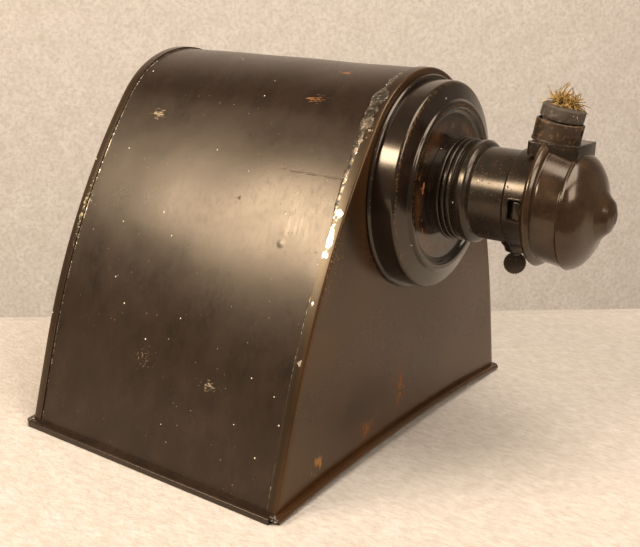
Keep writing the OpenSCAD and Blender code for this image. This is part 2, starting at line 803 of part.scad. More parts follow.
// Filament ring on its two lead wires, which spring from a button on the stem
module filament() {
    loop = 6;
    open = 60;
    lead = 0.4;
    wire = 0.3;
    top = globe_mid + 9 - lead;
    color("#7d7468") on_lamp_axis() {
        translate([0, 0, globe_mid]) rotate_extrude(angle = 360 - open)
            translate([loop, 0]) circle(r = wire, $fn = 24);
        translate([0, 0, top - 0.8]) cylinder(r = 1.2, h = 1.6, $fn = small_fn);
        for (a = [2, 358 - open]) rotate([0, 0, a]) {
            translate([loop, 0, globe_mid - 0.5]) cylinder(r = lead, h = top + 1 - globe_mid, $fn = 24);
            translate([0, 0, top]) rotate([0, 90, 0]) cylinder(r = wire, h = loop, $fn = 24);
        }
    }
}

// ============================ slide stage ============================

// Flat plate of the stage, with the light's way through it
module stage_plate(gate) {
    difference() {
        translate([-stage_tall / 2, -stage_width / 2, 0]) cube([stage_tall, stage_width, stage_sheet]);
        translate([0, 0, -1]) cylinder(r = gate, h = stage_sheet + 2);
    }
}

// Back plate of the stage, soldered to the end plate
module stage_back() {
    color("#2b2521") on_lens_axis() stage_plate(gate_radius);
}

// Front plate of the stage, with the edges that close its top and bottom
module stage_front() {
    color("#2b2521") on_lens_axis() {
        translate([0, 0, stage_depth - stage_sheet]) stage_plate(gate_radius);
        for (side = [-1, 1])
            translate([side * (stage_tall - stage_sheet) / 2, 0, (stage_depth + stage_sheet) / 2])
                cube([stage_sheet, stage_width, stage_depth - stage_sheet], center = true);
    }
}

// Two bowed springs that press a slide against the stage's back plate
module slide_springs() {
    bow = 1.4;
    span = stage_width - 6;
    wide = 2.2;
    bow_radius = (span * span / 4 + bow * bow) / (2 * bow);
    half_angle = asin(span / 2 / bow_radius);
    front = stage_depth - stage_sheet;
    color("#b9b09a") on_lens_axis() for (side = [-1, 1])
        translate([side * (slide_height / 2 - 1.3) - wide / 2, 0, front - bow + bow_radius - seat_gap])
            rotate([0, 90, 0]) rotate([0, 0, -half_angle])
                rotate_extrude(angle = 2 * half_angle, $fn = big_fn)
                    translate([bow_radius, 0]) square([0.35, wide]);
}

// ============================ lenses and draw tubes ============================

// A lens flat on one side, bulging along +Z by its rise; its flat at z = 0
module flat_lens(radius, thickness, edge) {
    rise = thickness - edge;
    ball = (radius * radius + rise * rise) / (2 * rise);
    intersection() {
        cylinder(r = radius, h = thickness + 1);
        translate([0, 0, thickness - ball]) sphere(r = ball, $fn = 180);
    }
}

// Condenser lens behind the lens plate, bulging towards the lamp
module condenser_lens() {
    color("#c9d6d6", 0.4) on_lens_axis() translate([0, 0, -sheet - condenser_seat]) mirror([0, 0, 1])
        flat_lens(condenser_radius, condenser_thickness, 1.6);
}

// Turned ring that holds the condenser lens to the lens plate
module condenser_ring() {
    deep = condenser_seat + 2.6;
    inner = gate_radius + 1;
    bore = condenser_radius + 0.2;
    outer = condenser_radius + 1.6;
    seat = seat_gap - condenser_seat;
    color("#b08d4a") on_lens_axis() translate([0, 0, -sheet]) rotate_extrude()
        polygon([[inner, 0], [outer, 0], [outer, -deep], [bore, -deep], [bore, seat], [inner, seat]]);
}

// Fixed sleeve on the stage that the draws slide in
module lens_sleeve() {
    color("#b08d4a") on_lens_axis() {
        tube(sleeve_radius, sleeve_bore, sleeve_root, sleeve_end);
        tube(sleeve_radius + sleeve_flange, sleeve_bore, sleeve_root, sleeve_root + 1.2);
    }
}

// A draw tube from start to end, with a rim outside the tube before it
module draw_tube(outer, bore, start, end) {
    tube(outer, bore, start, end);
    tube(outer + tube_wall, bore, end - lens_rim + 0.3, end);
}

// Middle draw, sliding in the sleeve
module middle_draw() {
    color("#b08d4a") on_lens_axis() draw_tube(middle_radius, middle_bore, middle_start, middle_end);
}

// Inner draw, which carries the lens
module lens_draw() {
    color("#b08d4a") on_lens_axis() draw_tube(draw_radius, draw_bore, lens_start, lens_end);
}

// Projecting lens, bulging outwards
module objective_lens() {
    color("#c9d6d6", 0.4) on_lens_axis() translate([0, 0, lens_end - lens_thickness - 1])
        flat_lens(draw_bore - 0.1, lens_thickness, 1.8);
}

// Clip ring that holds the lens in its draw
module lens_ring() {
    seat = lens_end - lens_thickness - 1;
    color("#8d6f38") on_lens_axis() tube(draw_bore - seat_gap, draw_bore - 1.2, seat - 1.2, seat - seat_gap);
}

// ============================ selection ============================

hood_sheet();
end_plate_lamp();
end_plate_lens();
lamp_collar();
lamp_cover();
reflector();
shade_ring();
shade_ring_inner();
holder_shell();
shell_liner();
holder_body();
screw_shell();
centre_contact();
side_contact();
terminal_screws();
key_shaft();
key_leaf();
holder_cap();
cap_liner();
cap_latch();
cord_nipple();
set_screw();
cord_bushing();
cord_stub();
lamp_globe();
lamp_base();
lamp_contact();
lamp_stem();
filament();
stage_back();
stage_front();
slide_springs();
condenser_lens();
condenser_ring();
lens_sleeve();
middle_draw();
lens_draw();
objective_lens();
lens_ring();
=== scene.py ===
"""Looks of a small tin magic lantern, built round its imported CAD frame.

The lantern is a hooded lamp house of japanned tin that stands on its open
foot. A pull-off cover with a turn-key lamp holder closes one end plate, and a
slide stage with a two-draw lens tube sits on the other. All sizes below are in
millimetres; a piece is turned to metres when it is finished.
"""

import json
import logging
import math
import random
from dataclasses import dataclass
from enum import Enum
from typing import Callable, Iterable, Sequence

import bmesh
import bpy
from mathutils import Matrix, Vector, noise


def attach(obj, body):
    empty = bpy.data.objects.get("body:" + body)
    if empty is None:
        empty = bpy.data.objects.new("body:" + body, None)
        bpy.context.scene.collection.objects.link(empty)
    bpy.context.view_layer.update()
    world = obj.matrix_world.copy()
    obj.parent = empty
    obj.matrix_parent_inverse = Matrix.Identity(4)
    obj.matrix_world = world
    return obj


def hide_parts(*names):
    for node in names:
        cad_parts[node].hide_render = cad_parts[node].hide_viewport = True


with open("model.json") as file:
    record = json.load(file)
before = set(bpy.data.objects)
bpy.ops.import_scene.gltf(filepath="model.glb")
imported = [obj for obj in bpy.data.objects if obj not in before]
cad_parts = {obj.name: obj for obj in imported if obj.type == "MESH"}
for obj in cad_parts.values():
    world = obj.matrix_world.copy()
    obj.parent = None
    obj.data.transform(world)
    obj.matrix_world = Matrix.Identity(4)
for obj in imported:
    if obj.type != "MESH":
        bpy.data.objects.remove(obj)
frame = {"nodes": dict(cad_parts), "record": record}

log = logging.getLogger("lantern")

MM = 0.001
# Outer faces of the two end plates, the middle between them, and the lamp axis.
LAMP_FACE = 35.15
LENS_FACE = -86.85
HOUSE_X = -25.85
AXIS_Z = 104.3
# Pieces of a full turn, and the distance within which points are one.
STEPS = 144
MERGE = 0.0005
COAT_ROUGHNESS = 0.12
# Smallest speck and how much larger one may be, as shares of its cell, and
# how far the values of a cloud pattern spread round its middle.
SPECK_SIZE = 0.03
SPECK_GROWTH = 0.065
CLOUD_SPREAD = 0.34

Pair = tuple[float, float]
Triple = tuple[float, float, float]


class Body(Enum):
    """Moving bodies of the frame that a piece can ride on."""

    HOUSE = "house"
    LAMP_UNIT = "lamp_unit"
    KEY = "key"
    MIDDLE_DRAW = "middle_draw"
    LENS = "lens"


class Where(Enum):
    """Shapes of the place that a stain keeps to."""

    ALL_OVER = "all over"
    BALL = "ball"
    RING = "ring"


class Blot(Enum):
    """Ways in which a stain breaks up inside its place."""

    PATCH = "patch"
    SPECK = "speck"
    SMOOTH = "smooth"


# ---------------------------------------------------------------- colour


def linear(colour: str) -> tuple[float, float, float, float]:
    """Turn an sRGB hex colour into linear light.

    Args:
        colour: Six hex digits, such as "8a6f45".

    Returns:
        Red, green, blue and an alpha of one.
    """

    def channel(text: str) -> float:
        """Turn two hex digits into linear light."""
        value = int(text, 16) / 255
        return value / 12.92 if value <= 0.04045 else ((value + 0.055) / 1.055) ** 2.4

    return (channel(colour[0:2]), channel(colour[2:4]), channel(colour[4:6]), 1.0)


class Graph:
    """Node graph of one material."""

    def __init__(self, name: str) -> None:
        """Start an empty graph.

        Args:
            name: Name of the material.
        """
        self.material = bpy.data.materials.new(name)
        self.material.use_nodes = True
        self.tree = self.material.node_tree
        self.tree.nodes.clear()

    def add(
        self, kind: str, settings: dict[str, object] | None = None,
        links: dict[int | str, object] | None = None,
    ) -> bpy.types.Node:
        """Add a node with its settings and links.

        Args:
            kind: Type of the node without its "ShaderNode" prefix.
            settings: Attributes of the node.
            links: A value, a node or a socket for each input.

        Returns:
            The new node.
        """
        node = self.tree.nodes.new("ShaderNode" + kind)
        for key, value in (settings or {}).items():
            setattr(node, key, value)
        for key, value in (links or {}).items():
            if isinstance(value, bpy.types.Node):
                value = value.outputs[0]
            if isinstance(value, bpy.types.NodeSocket):
                self.tree.links.new(value, node.inputs[key])
            else:
                node.inputs[key].default_value = value
        return node


# ---------------------------------------------------------------- finishes


@dataclass(frozen=True)
class Region:
    """Place on the lantern that a stain keeps to, in millimetres.

    A ball is centred on a point. A ring runs round the lamp axis, and its
    centre and reach are given along the axis and away from it.
    """

    where: Where = Where.ALL_OVER
    centre: Triple = (0.0, 0.0, 0.0)
    reach: Triple = (1.0, 1.0, 1.0)

    def strength(self, graph: Graph, place: object, axial: object) -> object:
        """Build the nodes that fall from 1 at the centre to 0 at the reach.

        Args:
            graph: Graph to build in.
            place: Socket of the object coordinates.
            axial: Socket of the way along and away from the lamp axis.

        Returns:
            A socket or the number 1.
        """
        if self.where is Where.ALL_OVER:
            return 1.0
        source = place if self.where is Where.BALL else axial
        centre = Vector(self.centre) * MM
        reach = Vector(self.reach) * MM
        off = graph.add("VectorMath", {"operation": "SUBTRACT"}, {0: source, 1: centre})
        part = graph.add("VectorMath", {"operation": "DIVIDE"}, {0: off, 1: reach})
        length = graph.add("VectorMath", {"operation": "LENGTH"}, {0: part})
        return graph.add("Math", {"operation": "SUBTRACT", "use_clamp": True},
            {0: 1.0, 1: length.outputs["Value"]})


def ball(x: float, y: float, z: float, rx: float, ry: float | None = None, rz: float | None = None) -> Region:
    """Make a ball-shaped region, or an egg-shaped one with three reaches."""
    return Region(Where.BALL, (x, y, z), (rx, ry or rx, rz or rx))


def ring(station: float, radius: float, reach: float, deep: float | None = None) -> Region:
    """Make a ring-shaped region at a station from the lamp end plate."""
    return Region(Where.RING, (LAMP_FACE + station, radius, 0.0), (reach, deep or reach, 1e6))


@dataclass(frozen=True)
class Stain:
    """One layer of wear, dirt or rust over a finish."""

    colour: str
    cover: float
    grain_mm: float
    region: Region = Region()
    blot: Blot = Blot.PATCH
    roughness: float = 0.5
    metallic: float = 0.0
    raise_mm: float = 0.0
    stretch: Triple = (1.0, 1.0, 1.0)
    soft: float = 0.03
    seed: float = 0.0

    def mask(self, graph: Graph, place: object, axial: object) -> bpy.types.Node:
        """Build the nodes that say where the stain shows.

        Args:
            graph: Graph to build in.
            place: Socket of the object coordinates.
            axial: Socket of the way along and away from the lamp axis.

        Returns:
            A node whose first output runs from 0 to 1.
        """
        strength = self.region.strength(graph, place, axial)
        if self.blot is Blot.SMOOTH:
            return graph.add("MapRange", {"interpolation_type": "SMOOTHSTEP"},
                {0: strength, 1: 0.0, 2: 1.0, 4: self.cover})
        moved = graph.add(
            "VectorMath", {"operation": "MULTIPLY_ADD"},
            {0: place, 1: self.stretch, 2: (self.seed, self.seed * 0.7, self.seed * 1.3)},
        )
        scale = 1 / (self.grain_mm * MM)
        if self.blot is Blot.SPECK:
            cells = graph.add("TexVoronoi", None, {"Vector": moved, "Scale": scale, "Randomness": 1.0})
            chance = graph.add("SeparateColor", None, {0: cells.outputs["Color"]})
            size = graph.add("Math", {"operation": "MULTIPLY_ADD"},
                {0: chance.outputs[1], 1: SPECK_GROWTH, 2: SPECK_SIZE})
            near = graph.add("Math", {"operation": "LESS_THAN"}, {0: cells.outputs["Distance"], 1: size})
            chosen = graph.add("Math", {"operation": "LESS_THAN"}, {0: chance.outputs[0], 1: self.cover})
            here = graph.add("Math", {"operation": "MULTIPLY", "use_clamp": True}, {0: near, 1: chosen})
            return graph.add("Math", {"operation": "MULTIPLY", "use_clamp": True}, {0: here, 1: strength})
        cloud = graph.add("TexNoise", None,
            {"Vector": moved, "Scale": scale, "Detail": 7.0, "Roughness": 0.62})
        level = 0.5 + CLOUD_SPREAD * (0.5 - self.cover)
        faded = graph.add("Math", {"operation": "MULTIPLY_ADD"}, {0: strength, 1: 0.5, 2: -0.5})
        value = graph.add("Math", {"operation": "ADD"}, {0: cloud, 1: faded})
        return graph.add("MapRange", None, {0: value, 1: level - self.soft, 2: level + self.soft})


def worn(
    cover: float, grain_mm: float, region: Region, seed: float = 0.0, roughness: float = 0.3, **more: object
) -> Stain:
    """Make a patch where the japan has worn off and the tin shows, a little sunk."""
    settings = {"roughness": roughness, "metallic": 1.0, "raise_mm": -0.02, "seed": seed} | more
    return Stain(TIN, cover, grain_mm, region, **settings)


@dataclass(frozen=True)
class Finish:
    """A painted, plated or bare surface with its mottling and stains."""

    name: str
    dark: str
    light: str
    mottle_mm: float = 14.0
    roughness: Pair = (0.3, 0.42)
    metallic: float = 0.0
    coat: float = 0.0
    gloss_tint: str = "ffffff"
    grain_mm: float = 1.2
    bump_mm: float = 0.006
    stains: tuple[Stain, ...] = ()

    def make(self) -> bpy.types.Material:
        """Build the material.

        Returns:
            The finished material.
        """
        graph = Graph(self.name)
        place = graph.add("TexCoord").outputs["Object"]
        to_axis = (0.0, 0.0, -AXIS_Z * MM)
        flat = graph.add(
            "VectorMath", {"operation": "MULTIPLY_ADD"}, {0: place, 1: (0.0, 1.0, 1.0), 2: to_axis}
        )
        away = graph.add("VectorMath", {"operation": "LENGTH"}, {0: flat})
        along = graph.add("SeparateXYZ", None, {0: place})
        axial = graph.add("CombineXYZ", None, {0: along.outputs[0], 1: away.outputs["Value"]}).outputs[0]

        scale = 1 / (self.mottle_mm * MM)
        broad = graph.add(
            "TexNoise", None, {"Vector": place, "Scale": scale, "Detail": 8.0, "Roughness": 0.66}
        )
        fine = graph.add("TexNoise", None,
            {"Vector": place, "Scale": 1 / (self.grain_mm * MM), "Detail": 3.0})
        shade = graph.add("MapRange", None, {0: broad, 1: 0.34, 2: 0.66})
        colour = graph.add(
            "Mix", {"data_type": "RGBA"}, {0: shade, 6: linear(self.dark), 7: linear(self.light)}
        ).outputs[2]
        rough: object = graph.add(
            "MapRange", None, {0: broad, 1: 0.3, 2: 0.7, 3: self.roughness[0], 4: self.roughness[1]}
        ).outputs[0]
        metal: object = self.metallic
        height: object = graph.add("Math", {"operation": "MULTIPLY"},
            {0: fine, 1: self.bump_mm * MM}).outputs[0]
        for stain in self.stains:
            mask = stain.mask(graph, place, axial)
            colour = graph.add("Mix", {"data_type": "RGBA"},
                {0: mask, 6: colour, 7: linear(stain.colour)}).outputs[2]
            rough = graph.add("Mix", None, {0: mask, 2: rough, 3: stain.roughness}).outputs[0]
            if stain.metallic != self.metallic or metal is not self.metallic:
                metal = graph.add("Mix", None, {0: mask, 2: metal, 3: stain.metallic}).outputs[0]
            if stain.raise_mm:
                height = graph.add(
                    "Math", {"operation": "MULTIPLY_ADD"}, {0: mask, 1: stain.raise_mm * MM, 2: height}
                ).outputs[0]
        bump = graph.add("Bump", None, {"Height": height, "Distance": 1.0})
        shader = graph.add(
            "BsdfPrincipled", None,
            {"Base Color": colour, "Metallic": metal, "Roughness": rough, "Normal": bump},
        )
        shader.inputs["Specular Tint"].default_value = linear(self.gloss_tint)
        if self.coat:
            shader.inputs["Coat Weight"].default_value = self.coat
            shader.inputs["Coat Roughness"].default_value = COAT_ROUGHNESS
        graph.add("OutputMaterial", None, {0: shader})
        return graph.material


@dataclass(frozen=True)
class Glass:
    """Clear blown or ground glass."""

    name: str
    tint: str = "eef3f1"
    roughness: float = 0.02

    def make(self) -> bpy.types.Material:
        """Build the material."""
        graph = Graph(self.name)
        shader = graph.add(
            "BsdfPrincipled", None,
            {
                "Base Color": linear(self.tint), "Roughness": self.roughness, "IOR": 1.5,
                "Transmission Weight": 0.95,
            },
        )
        place = graph.add("TexCoord").outputs["Object"]
        haze = graph.add("TexNoise", None, {"Vector": place, "Scale": 1 / (9 * MM), "Detail": 4.0})
        smear = graph.add("MapRange", None,
            {0: haze, 1: 0.4, 2: 0.75, 3: self.roughness, 4: self.roughness + 0.08})
        graph.tree.links.new(smear.outputs[0], shader.inputs["Roughness"])
        graph.add("OutputMaterial", None, {0: shader})
        return graph.material


TIN = "c9c1b2"
GOLD_BROWN = "5a4022"
WARM_GLOSS = "fff0dc"

DUST = Stain("d8cfba", 0.16, 3.6, blot=Blot.SPECK, roughness=0.8, raise_mm=0.02)
FINE_DUST = Stain("a3957c", 0.2, 1.7, blot=Blot.SPECK, roughness=0.8, seed=0.31)


class Finishes:
    """Every finish of the lantern, made once and kept by its record slot."""

    # Stoved black japan on tinplate: it goes brown-black and satin with age,
    # and shows the grey tin where it has worn through.
    HOOD = Finish(
        "japan_on_hood_tinplate", "180f0a", "20150e", mottle_mm=22.0, roughness=(0.25, 0.32),
        gloss_tint=WARM_GLOSS, bump_mm=0.008, grain_mm=0.8,
        stains=(
            Stain("2e2118", 0.25, 9.0, roughness=0.3, seed=0.2, soft=0.2, stretch=(1, 0.6, 0.6)),
            Stain("1a120c", 0.2, 1.6, roughness=0.34, seed=0.5, soft=0.12, stretch=(1, 0.5, 0.5)),
            Stain("5a4a3b", 0.42, 2.6, ball(17, -55, 92, 17, 14, 22), roughness=0.24,
                stretch=(1, 0.12, 0.12), soft=0.1),
            Stain("1c120b", 0.55, 2.4, ball(-10, -53, 99, 9, 5, 8), roughness=0.5, seed=0.15),
            Stain("2c2017", 0.85, 2.0, ball(19, -45.6, 111, 40, 20, 1.3), roughness=0.4, raise_mm=-0.02,
                seed=0.4),
            Stain("3a2c20", 1.0, 1.0, ball(13, -59, 87.8, 2.2), Blot.SMOOTH, roughness=0.28, raise_mm=0.12),
            Stain("8c5a34", 0.62, 1.4, ball(5, -29, 134, 16, 6, 6), roughness=0.6, seed=0.11,
                stretch=(0.35, 2, 2)),
            Stain("8c5a34", 0.55, 1.2, ball(8, -15, 143.5, 10, 5, 4), roughness=0.6, seed=0.7,
                stretch=(0.35, 2, 2)),
            Stain("0f0a07", 0.45, 2.3, blot=Blot.SPECK, roughness=0.6, seed=0.63),
            Stain("6b3f24", 0.07, 3.0, ball(0, -30, 140, 70, 40, 22), roughness=0.6, seed=0.31,
                stretch=(0.7, 2, 2)),
            Stain("9c8a70", 0.62, 1.1, ball(-64, -38, 123, 12, 7, 7), roughness=0.4, seed=0.45,
                stretch=(0.4, 2, 2)),
            Stain("8a7a66", 0.6, 1.0, ball(-2.5, -78, 36, 12, 5, 6), roughness=0.4, seed=0.95,
                stretch=(0.5, 2, 2)),
            Stain("7c6c58", 0.34, 1.1, ball(-35, -78, 40, 30, 8, 34), roughness=0.45, seed=0.22,
                stretch=(1, 2, 2)),
            worn(0.5, 1.9, ball(30, -42, 120, 5, 22, 26), 0.33),
            worn(0.42, 1.5, ball(30, -63, 84, 3.4, 8, 22), 0.63),
            worn(0.44, 1.4, ball(-82, -62, 92, 4.5, 26, 50), 0.53, 0.35, raise_mm=0.0),
            DUST, FINE_DUST,
        ),
    )
    # The end plates, japanned warmer and redder, with rust that climbs from the foot.
    PLATE = Finish(
        "japan_on_plate_tinplate", "2c1b0e", "3d2713", mottle_mm=30.0, roughness=(0.24, 0.34),
        gloss_tint="ffe9c8", bump_mm=0.008,
        stains=(
            Stain("1c1008", 0.5, 40.0, ball(35, -40, 25, 20, 60, 50), roughness=0.36, soft=0.14),
            # Dark patch on the lamp plate just in front of the cover: painted reflection of the cover.
            Stain("1a100a", 0.9, 30.0, ball(35, -50, 92, 6, 16, 40), roughness=0.3, soft=0.2),
            Stain("1e150e", 1.0, 9.0, ball(32.4, 0, 60, 2.7, 9e3, 9e3), Blot.SMOOTH, roughness=0.3),
            Stain("1e150e", 1.0, 9.0, ball(-84.2, 0, 60, 2.7, 9e3, 9e3), Blot.SMOOTH, roughness=0.3),
            Stain("7d4a1c", 0.62, 1.8, ball(35, -6, 24, 9, 16, 32), roughness=0.75,
                stretch=(1, 1.6, 0.5), raise_mm=0.02),
            Stain("7d4a1c", 0.6, 1.7, ball(35, -31, 13, 9, 20, 15), roughness=0.75,
                stretch=(1, 1.6, 0.5), seed=0.4),
            Stain("8a6234", 0.6, 1.5, ball(35, -63, 12, 9, 12, 15), roughness=0.7, stretch=(1, 1.6, 0.5),
                seed=0.14),
            Stain("6b431d", 0.16, 1.6, ball(35, 20, 30, 6, 60, 30), roughness=0.7, stretch=(1, 2.0, 0.7),
                seed=0.84),
            Stain("8a7048", 0.42, 1.0, ball(35.1, -62, 90, 1.0, 40, 70), roughness=0.4, metallic=0.5,
                seed=0.6),
            worn(0.95, 2.6, ball(32.2, -57, 93, 3.6, 19, 25), roughness=0.26, stretch=(1, 0.5, 0.5)),
            worn(0.42, 1.3, ball(33.0, -37, 128, 5.0, 16, 22), 0.2, 0.28),
            worn(0.45, 1.4, ball(32.6, -67, 72, 4.0, 3.5, 5)),
            worn(0.52, 1.6, ball(32.8, -74, 53, 4.5, 4, 8)),
            Stain("a89c86", 0.5, 1.2, ball(-83.5, -60, 85, 4.5, 40, 60), roughness=0.35, metallic=0.8,
                seed=0.77),
            DUST,
        ),
    )
    # The same japan under a clear stoved gloss, worn golden on its pressed edges.
    COVER = Finish(
        "japan_on_pressed_cover", "150f0b", "231812", mottle_mm=18.0, roughness=(0.14, 0.24),
        coat=0.25, gloss_tint=WARM_GLOSS, bump_mm=0.006,
        stains=(
            Stain("4a2f18", 0.6, 12.0, ring(11.5, 24, 4, 12), roughness=0.3, soft=0.14, seed=0.3),
            Stain("6a4a26", 0.32, 3.0, ring(11.5, 23, 4, 9), roughness=0.4, soft=0.06, seed=0.5),
            Stain(GOLD_BROWN, 0.66, 1.2, ring(10.0, 37.8, 2.1), roughness=0.34, metallic=0.5, seed=0.1),
            Stain(GOLD_BROWN, 0.62, 1.1, ring(13.1, 30.4, 1.9), roughness=0.34, metallic=0.5, seed=0.2),
            Stain(GOLD_BROWN, 0.5, 1.4, ring(1.7, 40.2, 1.2), roughness=0.4, metallic=0.4, seed=0.25),
            Stain("a8683a", 0.95, 2.4, ball(46.5, -20.0, 106.8, 3.0, 3.0, 6.0), roughness=0.7, seed=0.7,
                raise_mm=-0.03),
            DUST,
        ),
    )
    # Chemically blackened brass, polished by hands until it shines.
    BRONZED = Finish(
        "blackened_brass", "12100e", "1d1915", mottle_mm=12.0, roughness=(0.17, 0.25),
        gloss_tint=WARM_GLOSS, bump_mm=0.004, grain_mm=0.6,
        stains=(
            Stain("2a1e14", 0.3, 5.0, roughness=0.27, seed=0.12, soft=0.2),
            Stain("6b4a2a", 0.3, 0.9, ball(70, -17, 100, 20, 8, 16), roughness=0.5, seed=0.42, raise_mm=0.01),
            Stain("6e5330", 0.4, 0.8, ring(27.3, 17.6, 0.7), roughness=0.35, metallic=0.6),
            Stain("6e5330", 0.35, 0.8, ring(48.9, 18.8, 0.8), roughness=0.35, metallic=0.6, seed=0.3),
            Stain("1f1b18", 0.1, 1.0, roughness=0.5, seed=0.8, raise_mm=-0.02),
            DUST,
        ),
    )
    # Brass of the cap, gone brown and olive under a thin gloss.
    CAP = Finish(
        "tarnished_cap_brass", "21150d", "382717", mottle_mm=9.0, roughness=(0.15, 0.28), coat=0.15,
        gloss_tint=WARM_GLOSS, bump_mm=0.01, grain_mm=0.9,
        stains=(
            Stain("3a3316", 0.5, 12.0, ball(104, -10, 104, 14, 20, 22), roughness=0.25, soft=0.14, seed=0.25),
            Stain("8a7350", 0.3, 1.1, ball(100, -17, 103, 5, 6, 5), roughness=0.55, seed=0.4, metallic=0.3),
            Stain("8a7350", 0.22, 1.1, ball(99, -12, 117, 6, 6, 5), roughness=0.55, seed=0.9, metallic=0.3),
            Stain("6d4c26", 0.55, 0.7, ring(62.0, 21.9, 0.6), roughness=0.35, metallic=0.6),
            Stain("5d432a", 0.45, 0.9, ring(50.8, 23.1, 0.9), roughness=0.35, metallic=0.5),
            Stain("4a3a30", 0.3, 1.4, ball(88, -18, 96, 8, 8, 10), roughness=0.55, seed=0.55, raise_mm=0.02),
            DUST,
        ),
    )
    # The nipple kept its chemical black, and dirt has turned it brown and dull.
    NIPPLE = Finish(
        "dulled_nipple_brass", "21170f", "33251a", mottle_mm=5.0, roughness=(0.42, 0.58),
        gloss_tint=WARM_GLOSS, bump_mm=0.03, grain_mm=0.5,
        stains=(Stain("5a4430", 0.25, 1.8, roughness=0.6, seed=0.2), FINE_DUST),
    )
    # Soft solder wiped along a seam: bright tin with grey dips.
    SOLDER = Finish(
        "wiped_soft_solder", "4c4337", "8a7f6f", mottle_mm=3.0, roughness=(0.25, 0.42),
        metallic=1.0, bump_mm=0.12, grain_mm=1.6,
        stains=(
            Stain("2c231b", 0.5, 2.8, roughness=0.45, metallic=0.3, seed=0.3),
            Stain("e2dccf", 0.2, 1.2, roughness=0.25, metallic=1.0, seed=0.6),
            Stain("2a1f16", 1.0, 5.0, ball(31, -78, 30, 20, 30, 40), Blot.SMOOTH, roughness=0.4,
                metallic=0.2),
        ),
    )
    # Lacquered brass turned on a lathe, gone deeper with age.
    BRASS = Finish(
        "lacquered_turned_brass", "7b5c2a", "a07a3c", mottle_mm=10.0, roughness=(0.18, 0.32),
        metallic=1.0, coat=0.3, bump_mm=0.003,
        stains=(Stain("4a3519", 0.25, 4.0, roughness=0.4, metallic=0.8, seed=0.1, soft=0.08), FINE_DUST),
    )
    # Bright sheet brass of the contacts, with brown spots.
    PLAIN_BRASS = Finish(
        "plain_sheet_brass", "a07c44", "c49c5c", mottle_mm=5.0, roughness=(0.25, 0.4), metallic=1.0,
        stains=(Stain("6b4f28", 0.25, 2.0, roughness=0.5, metallic=0.8),),
    )
    # Plain steel of screws and springs, dull and freckled with rust.
    STEEL = Finish(
        "dull_spring_steel", "5c5852", "86817a", mottle_mm=3.0, roughness=(0.3, 0.45), metallic=1.0,
        stains=(Stain("5a3d28", 0.3, 0.8, roughness=0.7, metallic=0.2),),
    )
    # Fine grey wire of the filament.
    WIRE = Finish("drawn_filament_wire", "47423d", "5e5850", mottle_mm=1.0, metallic=1.0)
    # Dull grey solder of the lamp contact.
    LEAD = Finish("contact_solder", "77756f", "a09e98", mottle_mm=2.0, metallic=1.0, roughness=(0.35, 0.5))
    # Silvered face of the reflector: a clear image with a few dull spots.
    SILVER = Finish(
        "silvered_brass_reflector", "d5d0c6", "e6e2da", mottle_mm=12.0, roughness=(0.06, 0.16),
        metallic=1.0,
        stains=(Stain("8a7f6a", 0.12, 3.0, roughness=0.5, metallic=0.7),),
    )
    # Pressed rag fibre, brown and dry.
    FIBRE = Finish(
        "pressed_fibre", "3d2c1d", "5a4430", mottle_mm=4.0, roughness=(0.7, 0.85), bump_mm=0.03, grain_mm=0.4
    )
    # Hard fibre of the bushing, grey and powdery.
    BUSHING = Finish(
        "hard_grey_fibre", "332a22", "4c4036", mottle_mm=3.0, roughness=(0.62, 0.8), bump_mm=0.05,
        grain_mm=0.5,
        stains=(Stain("5b564d", 0.25, 1.4, roughness=0.85, seed=0.2), FINE_DUST),
    )
    # Cream porcelain under a clear glaze, with a few brown specks.
    PORCELAIN = Finish(
        "glazed_porcelain", "d6cfbd", "e8e2d2", mottle_mm=8.0, roughness=(0.12, 0.2), coat=0.5,
        stains=(Stain("8f8168", 0.12, 2.0, roughness=0.4),),
    )
    # Yellow cotton yarn of the cord's braid, unravelled.
    COTTON = Finish(
        "frayed_cotton_yarn", "75561f", "cbaa68", mottle_mm=1.1, roughness=(0.75, 0.9),
        bump_mm=0.02, grain_mm=0.2,
        stains=(Stain("5c4420", 0.3, 1.6, roughness=0.9, seed=0.3, soft=0.06),),
    )
    # Clear glass of lamp and lenses, with a faint haze of dust.
    GLASS = Glass("clear_glass")

    BY_SLOT = {
        "japanned_tin": HOOD, "japanned_plate": PLATE, "japanned_cover": COVER,
        "silvered_reflector": SILVER, "bronzed_brass": BRONZED, "tarnished_cap": CAP,
        "lacquered_brass": BRASS, "contact_brass": PLAIN_BRASS, "bare_steel": STEEL, "solder": LEAD,
        "filament_wire": WIRE, "insulating_fibre": FIBRE, "bushing_fibre": BUSHING,
        "porcelain": PORCELAIN, "clear_glass": GLASS, "cotton_cord": COTTON,
    }

    def __init__(self) -> None:
        """Start with no material made."""
        self.made: dict[str, bpy.types.Material] = {}

    def get(self, finish: Finish | Glass) -> bpy.types.Material:
        """Return the material of a finish, and make it the first time."""
        if finish.name not in self.made:
            self.made[finish.name] = finish.make()
        return self.made[finish.name]


# ---------------------------------------------------------------- bench


def rounded(points: Sequence[Sequence[float]], steps: int = 4) -> list[Vector]:
    """Round the corners of a profile.

    Args:
        points: Way along and away from the axis, and a corner's radius if any.
        steps: Pieces of each rounded corner.

    Returns:
        The points of the rounded profile.
    """
    out: list[Vector] = []
    for i, point in enumerate(points):
        here = Vector(point[:2])
        radius = point[2] if len(point) > 2 else 0.0
        if not radius or i in (0, len(points) - 1):
            out.append(here)
            continue
        back = Vector(points[i - 1][:2]) - here
        ahead = Vector(points[i + 1][:2]) - here
        turn = back.angle(ahead)
        reach = min(radius / math.tan(turn / 2), 0.48 * back.length, 0.48 * ahead.length)
        start, end = here + back.normalized() * reach, here + ahead.normalized() * reach
        for k in range(steps + 1):
            t = k / steps
            out.append(start * (1 - t) ** 2 + here * 2 * t * (1 - t) + end * t * t)
    return out


